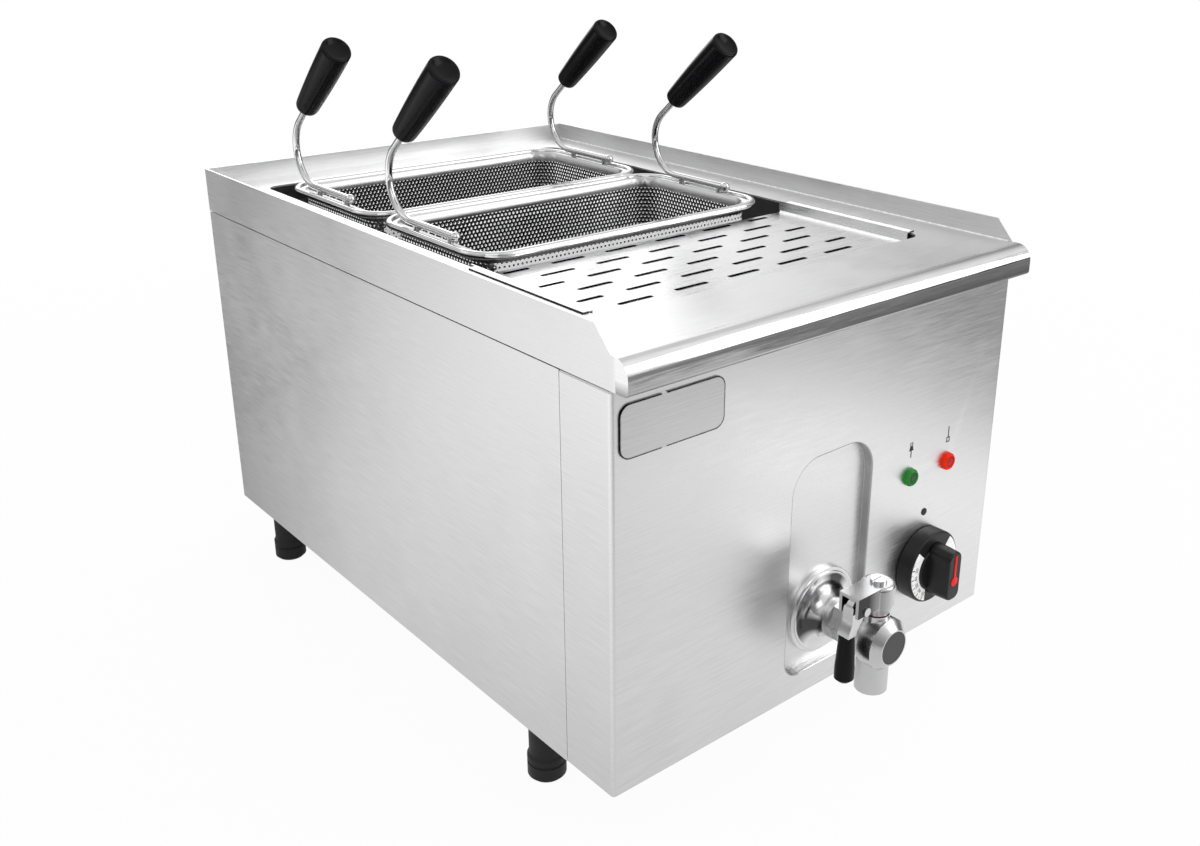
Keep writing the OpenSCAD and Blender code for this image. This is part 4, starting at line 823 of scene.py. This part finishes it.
def grip_ring(y, inset):
    """Rounded section of the knob's grip at y, drawn in by inset."""
    w, h, r = GRIP_HALF_W - inset, GRIP_HALF_H - inset, GRIP_CORNER - inset
    points = []
    for x, z, start in ((w - r, r - h, 270), (w - r, h - r, 0), (r - w, h - r, 90), (r - w, r - h, 180)):
        points += turn((CONTROL_X + x, KNOB_Z + z), r, start, start + 90, GRIP_STEPS)
    return [at(x, y, z) for x, z in points]


knob_grip = loft([grip_ring(KNOB_FACE + back, inset) for back, inset in KNOB_GRIP])
knob_skirt = lathe(KNOB_SKIRT, at(CONTROL_X, KNOB_BACK, KNOB_Z), FORWARD, KNOB_TURNS)
knob_cap = piece("knob_cap", joined(knob_skirt, knob_grip), "knob", "knob_black", M["knob_black"])
soften(knob_cap, 0)
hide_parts("knob")
arc = turn(DIAL, SCALE_R, SCALE_FROM, SCALE_TO, SCALE_STEPS)
arc += turn(DIAL, SCALE_R - SCALE_W, SCALE_TO, SCALE_FROM, SCALE_STEPS)
shape = prism(arc, SKIRT_FACE, SKIRT_FACE - SCALE_T)
piece("scale_end", shape, "knob", "scale_white", M["scale_white"], smooth=False)

# Tap lever: a folded strap on its pin

PIN_X, PIN_Z, TAP_Y = -18.0, 146.0, -46.0
STRAP_T, STRAP_BEVEL = 1.4, 0.4
STRAP = (  # left face's x, height, half width and depth of the folded strap, from the pin downwards
    (-5.4, 7.4, 2.6, 1.5), (-8.2, 4.2, 2.9, 1.7), (-8.6, 3.0, 4.2, 12.0), (-9.2, 0.0, 4.5, 14.0),
    (-9.2, -6.0, 4.6, 13.0), (-9.4, -9.2, 4.7, 10.5), (-11.0, -12.5, 4.9, 9.5), (-12.8, -15.5, 5.1, 8.8),
    (-13.2, -19.0, 5.2, 8.5))


def lever_strap():
    """The strap, a channel that is open to the right."""
    rings = []
    for x, z, w, d in STRAP:
        inner = min(STRAP_T, d)
        section = [(0, -w), (0, w), (d, w), (d, w - STRAP_T), (inner, w - STRAP_T), (inner, STRAP_T - w),
                   (d, STRAP_T - w), (d, -w)]
        rings.append([at(PIN_X + x + px, TAP_Y + py, PIN_Z + z) for px, py in section])
    return loft(rings)


strap = piece("lever_strap", lever_strap(), "tap_lever", "tap_chrome", M["lever_steel"])
soften(strap, STRAP_BEVEL)
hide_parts("tap_lever")

# Printing: the knob's numbers and the panel's two pictograms

PRINT_T = 0.12
SCALE_FACE = SKIRT_FACE - SCALE_T
NUMBERS = ((30, 168), (40, 186), (50, 204), (60, 222), (70, 240), (90, 300), (100, 318), (110, 336))
NUMBER_SIZE, NUMBER_R = 4.4, 22.3
TICK = (24.6, 27.8, 0.8)  # inner radius, outer radius and width
HALF_TICK, HALF_STEP = (26.4, 27.6, 0.5), 9
ICON_Z = 211.5


def lettering(text, size):
    """A word in the built-in font as points and faces, flat in x and y, about its middle."""
    curve = bpy.data.curves.new("lettering", "FONT")
    curve.body = text
    curve.size = size * MM
    curve.align_x = curve.align_y = "CENTER"
    curve.extrude = PRINT_T / 2 * MM
    holder = bpy.data.objects.new("lettering", curve)
    mesh = bpy.data.meshes.new_from_object(holder)
    shape = [v.co.copy() for v in mesh.vertices], [tuple(f.vertices) for f in mesh.polygons]
    bpy.data.objects.remove(holder)
    bpy.data.curves.remove(curve)
    bpy.data.meshes.remove(mesh)
    return shape


def on_dial(shape, angle, radius):
    """Puts flat lettering on the knob's scale, with its top outwards."""
    face = Matrix(((1, 0, 0), (0, 0, -1), (0, 1, 0))).to_4x4()
    spin = Matrix.Rotation(math.radians(angle - 90), 4, "Z")
    middle = at(CONTROL_X, SCALE_FACE, KNOB_Z)
    place = Matrix.Translation(middle) @ face @ spin @ Matrix.Translation((0, radius * MM, 0))
    return [place @ v for v in shape[0]], shape[1]


def tick(angle, low, high, width):
    """A stroke of the knob's scale between two radii."""
    a = math.radians(angle)
    out, side = Vector((math.cos(a), math.sin(a))), Vector((-math.sin(a), math.cos(a)))
    corners = [out * r + side * w * width / 2 for r, w in ((low, -1), (high, -1), (high, 1), (low, 1))]
    return prism([(CONTROL_X + c.x, KNOB_Z + c.y) for c in corners], SCALE_FACE, SCALE_FACE - PRINT_T / 2)


marks = []
for number, angle in NUMBERS:
    marks.append(on_dial(lettering(str(number), NUMBER_SIZE), angle, NUMBER_R))
    marks.append(tick(angle, *TICK))
    marks.append(tick(angle - HALF_STEP, *HALF_TICK))
piece("knob_numbers", joined(*marks), "knob", "knob_black", M["print_black"], smooth=False)


def pictogram(name, x, *outlines):
    """Flat outlines of (x, z) over a lamp at x."""
    shapes = [prism([(x + px, ICON_Z + pz) for px, pz in outline], 0, -PRINT_T) for outline in outlines]
    piece(name, joined(*shapes), "cooker", "knob_black", M["print_black"], smooth=False)


def stroke(x0, z0, x1, z1):
    return [(x0, z0), (x1, z0), (x1, z1), (x0, z1)]


pictogram("icon_plug", CONTROL_X - LAMP_OUT, stroke(-0.45, 0, 0.45, 6), stroke(-2.4, 5.6, 2.4, 6.8),
          [(-1.9, 6.8), (1.9, 6.8), (1.9, 8.6), (1.1, 9.6), (-1.1, 9.6), (-1.9, 8.6)],
          stroke(-1.5, 9.6, -0.7, 12.6), stroke(0.7, 9.6, 1.5, 12.6))
pictogram("icon_heat", CONTROL_X + LAMP_OUT, stroke(-0.45, 3.6, 0.45, 13.2), stroke(-2.0, 0, -1.2, 4.4),
          stroke(1.2, 0, 2.0, 4.4), stroke(-1.2, 0, 1.2, 0.8), stroke(-1.2, 3.6, 1.2, 4.4))

# Stage: a white sheet that keeps the shadow, and that polished steel sees with bright and dark zones

FLOOR = 6.0
PAPER, PAPER_ROUGH = rgb(0.85), 0.9
WHITE_FROM, WHITE_TO, PAPER_WHITE = 0.5, 1.8, 0.95  # how the sheet turns pure white away from the part
MIRRORED = 0.85
POOL = (0.46, -0.78, 0.0)  # a bright spot beside the front
BACK_SLANT = 1.3

corners = [(-FLOOR, -FLOOR, 0), (FLOOR, -FLOOR, 0), (FLOOR, FLOOR, 0), (-FLOOR, FLOOR, 0)]
mesh = bpy.data.meshes.new("floor")
mesh.from_pydata(corners, [], [(0, 1, 2, 3)])
floor = bpy.data.objects.new("floor", mesh)
scene.collection.objects.link(floor)
paper = Finish("paper")
paper.set(Base_Color=PAPER, Roughness=PAPER_ROUGH)
path = paper.add("ShaderNodeLightPath")
seen = paper.math("MAXIMUM", path.outputs["Is Camera Ray"], path.outputs["Is Transmission Ray"])
away = paper.measure("LENGTH", paper.place())
direct = paper.math("MULTIPLY", seen, paper.ramp(away, WHITE_FROM, WHITE_TO, PAPER_WHITE, 1.0))
mirrored = paper.math("MULTIPLY", path.outputs["Is Glossy Ray"], MIRRORED)
x, y = paper.along("X"), paper.along("Y")
behind = paper.math("SUBTRACT", y, paper.math("MULTIPLY", paper.math("ABSOLUTE", x), BACK_SLANT))
pool = paper.measure("DISTANCE", paper.place(), POOL)
zones = (  # what to go by, where the change starts and ends, levels there
    (behind, -0.16, 0.22, 1.0, 0.20),
    (x, 0.50, 0.78, 1.0, 0.15),
    (pool, 0.05, 0.40, 1.50, 1.0),
    (x, -0.95, -0.60, 1.35, 1.0),
)
fall = paper.math("MAXIMUM", paper.ramp(y, -0.95, -0.92, 0.12, 1.0), paper.ramp(y, -2.4, -1.15, 1.0, 0.12))
for zone in zones:
    fall = paper.math("MULTIPLY", fall, paper.ramp(*zone))
near = paper.math("MAXIMUM", paper.ramp(x, -0.58, -0.20, 1.0, 0.66), paper.ramp(x, -0.20, 0.40, 0.66, 1.0))
fall = paper.math("MULTIPLY", fall, near)
shade = paper.math("MAXIMUM", seen, fall)
glow = paper.add("ShaderNodeEmission", Color=rgb(1.0), Strength=shade)
blend = paper.add("ShaderNodeMixShader")
paper.feed(blend.inputs[0], paper.math("MAXIMUM", direct, mirrored))
paper.feed(blend.inputs[1], paper.bsdf.outputs[0])
paper.feed(blend.inputs[2], glow.outputs[0])
paper.feed(paper.tree.nodes["Material Output"].inputs["Surface"], blend.outputs[0])
mesh.materials.append(paper.material)

# World: white to the camera, an even grey to matt surfaces, and a studio with dark sides to polished ones

HORIZON, SKY, ZENITH, SKY_FROM = 0.16, 0.55, 0.25, 0.3  # levels, the last one added, and a height
MATT_GREY = rgb(0.85)
LOBES = (  # direction, where the change starts and ends as cosines, level there
    ((-0.60, -0.70, 0.38), 0.80, 0.97, 0.45),
    ((-0.38, 0.92, 0.05), 0.86, 0.98, 0.45),
    ((0.48, 0.82, 0.30), 0.84, 0.985, 3.20),
    ((0.86, 0.46, 0.22), 0.88, 0.985, 0.40),
    ((0.62, -0.52, 0.58), 0.76, 0.93, 1.35),
    ((0.46, -0.88, 0.08), 0.90, 0.985, 2.20),
    ((0.88, -0.46, 0.05), 0.88, 0.985, 0.30),
    ((0.34, 0.91, 0.24), 0.92, 0.985, 1.70),
    ((-0.60, 0.70, 0.40), 0.88, 0.98, 1.80),
)

world = bpy.data.worlds.new("studio")
scene.world = world
world.use_nodes = True
studio = Shader(world.node_tree)
studio.tree.nodes.clear()
direction = studio.place("Generated")
height = studio.along("Z", "Generated")
level = studio.math("ADD", studio.ramp(height, 0.0, SKY_FROM, HORIZON, SKY),
                    studio.ramp(height, SKY_FROM, 1.0, 0.0, ZENITH))
for way, start, end, left in LOBES:
    near = studio.measure("DOT_PRODUCT", direction, Vector(way).normalized())
    level = studio.math("MULTIPLY", level, studio.ramp(near, start, end, 1.0, left))
path = studio.add("ShaderNodeLightPath")
level = studio.mix(path.outputs["Is Diffuse Ray"], level, MATT_GREY)
clear = studio.math("MAXIMUM", path.outputs["Is Camera Ray"], path.outputs["Is Transmission Ray"])
level = studio.mix(clear, level, rgb(1.0))
back = studio.add("ShaderNodeBackground", Color=level)
studio.add("ShaderNodeOutputWorld", Surface=back.outputs[0])


def aimed(name, data, where, way):
    """A lamp or camera in the scene, that looks along way."""
    o = bpy.data.objects.new(name, data)
    o.location = where
    o.rotation_mode = "QUATERNION"
    o.rotation_quaternion = Vector(way).to_track_quat("-Z", "Y")
    scene.collection.objects.link(o)
    return o


def softbox(name, where, aim, size, watts):
    data = bpy.data.lights.new(name, "AREA")
    data.shape = "RECTANGLE"
    data.size, data.size_y = size
    data.energy = watts
    aimed(name, data, where, Vector(aim) - Vector(where))


softbox("key", (1.25, -1.35, 1.15), (0, -0.25, 0.35), (0.9, 1.5), 9)
softbox("fill", (-1.4, -1.6, 1.9), (0, 0, 0.2), (1.4, 1.4), 6)

# Camera, as it was fitted to the photo

EYE, LOOK, ROLL = (-0.6148, -0.7877, 0.6042), (0.614, 0.7094, -0.3456), math.radians(0.37)

camera = bpy.data.cameras.new("camera")
camera.sensor_width = 36.0
camera.lens = 36.96
camera.shift_x, camera.shift_y = -0.046, -0.0525
eye = aimed("camera", camera, EYE, LOOK)
eye.rotation_quaternion = eye.rotation_quaternion @ Matrix.Rotation(ROLL, 3, "Z").to_quaternion()
scene.camera = eye
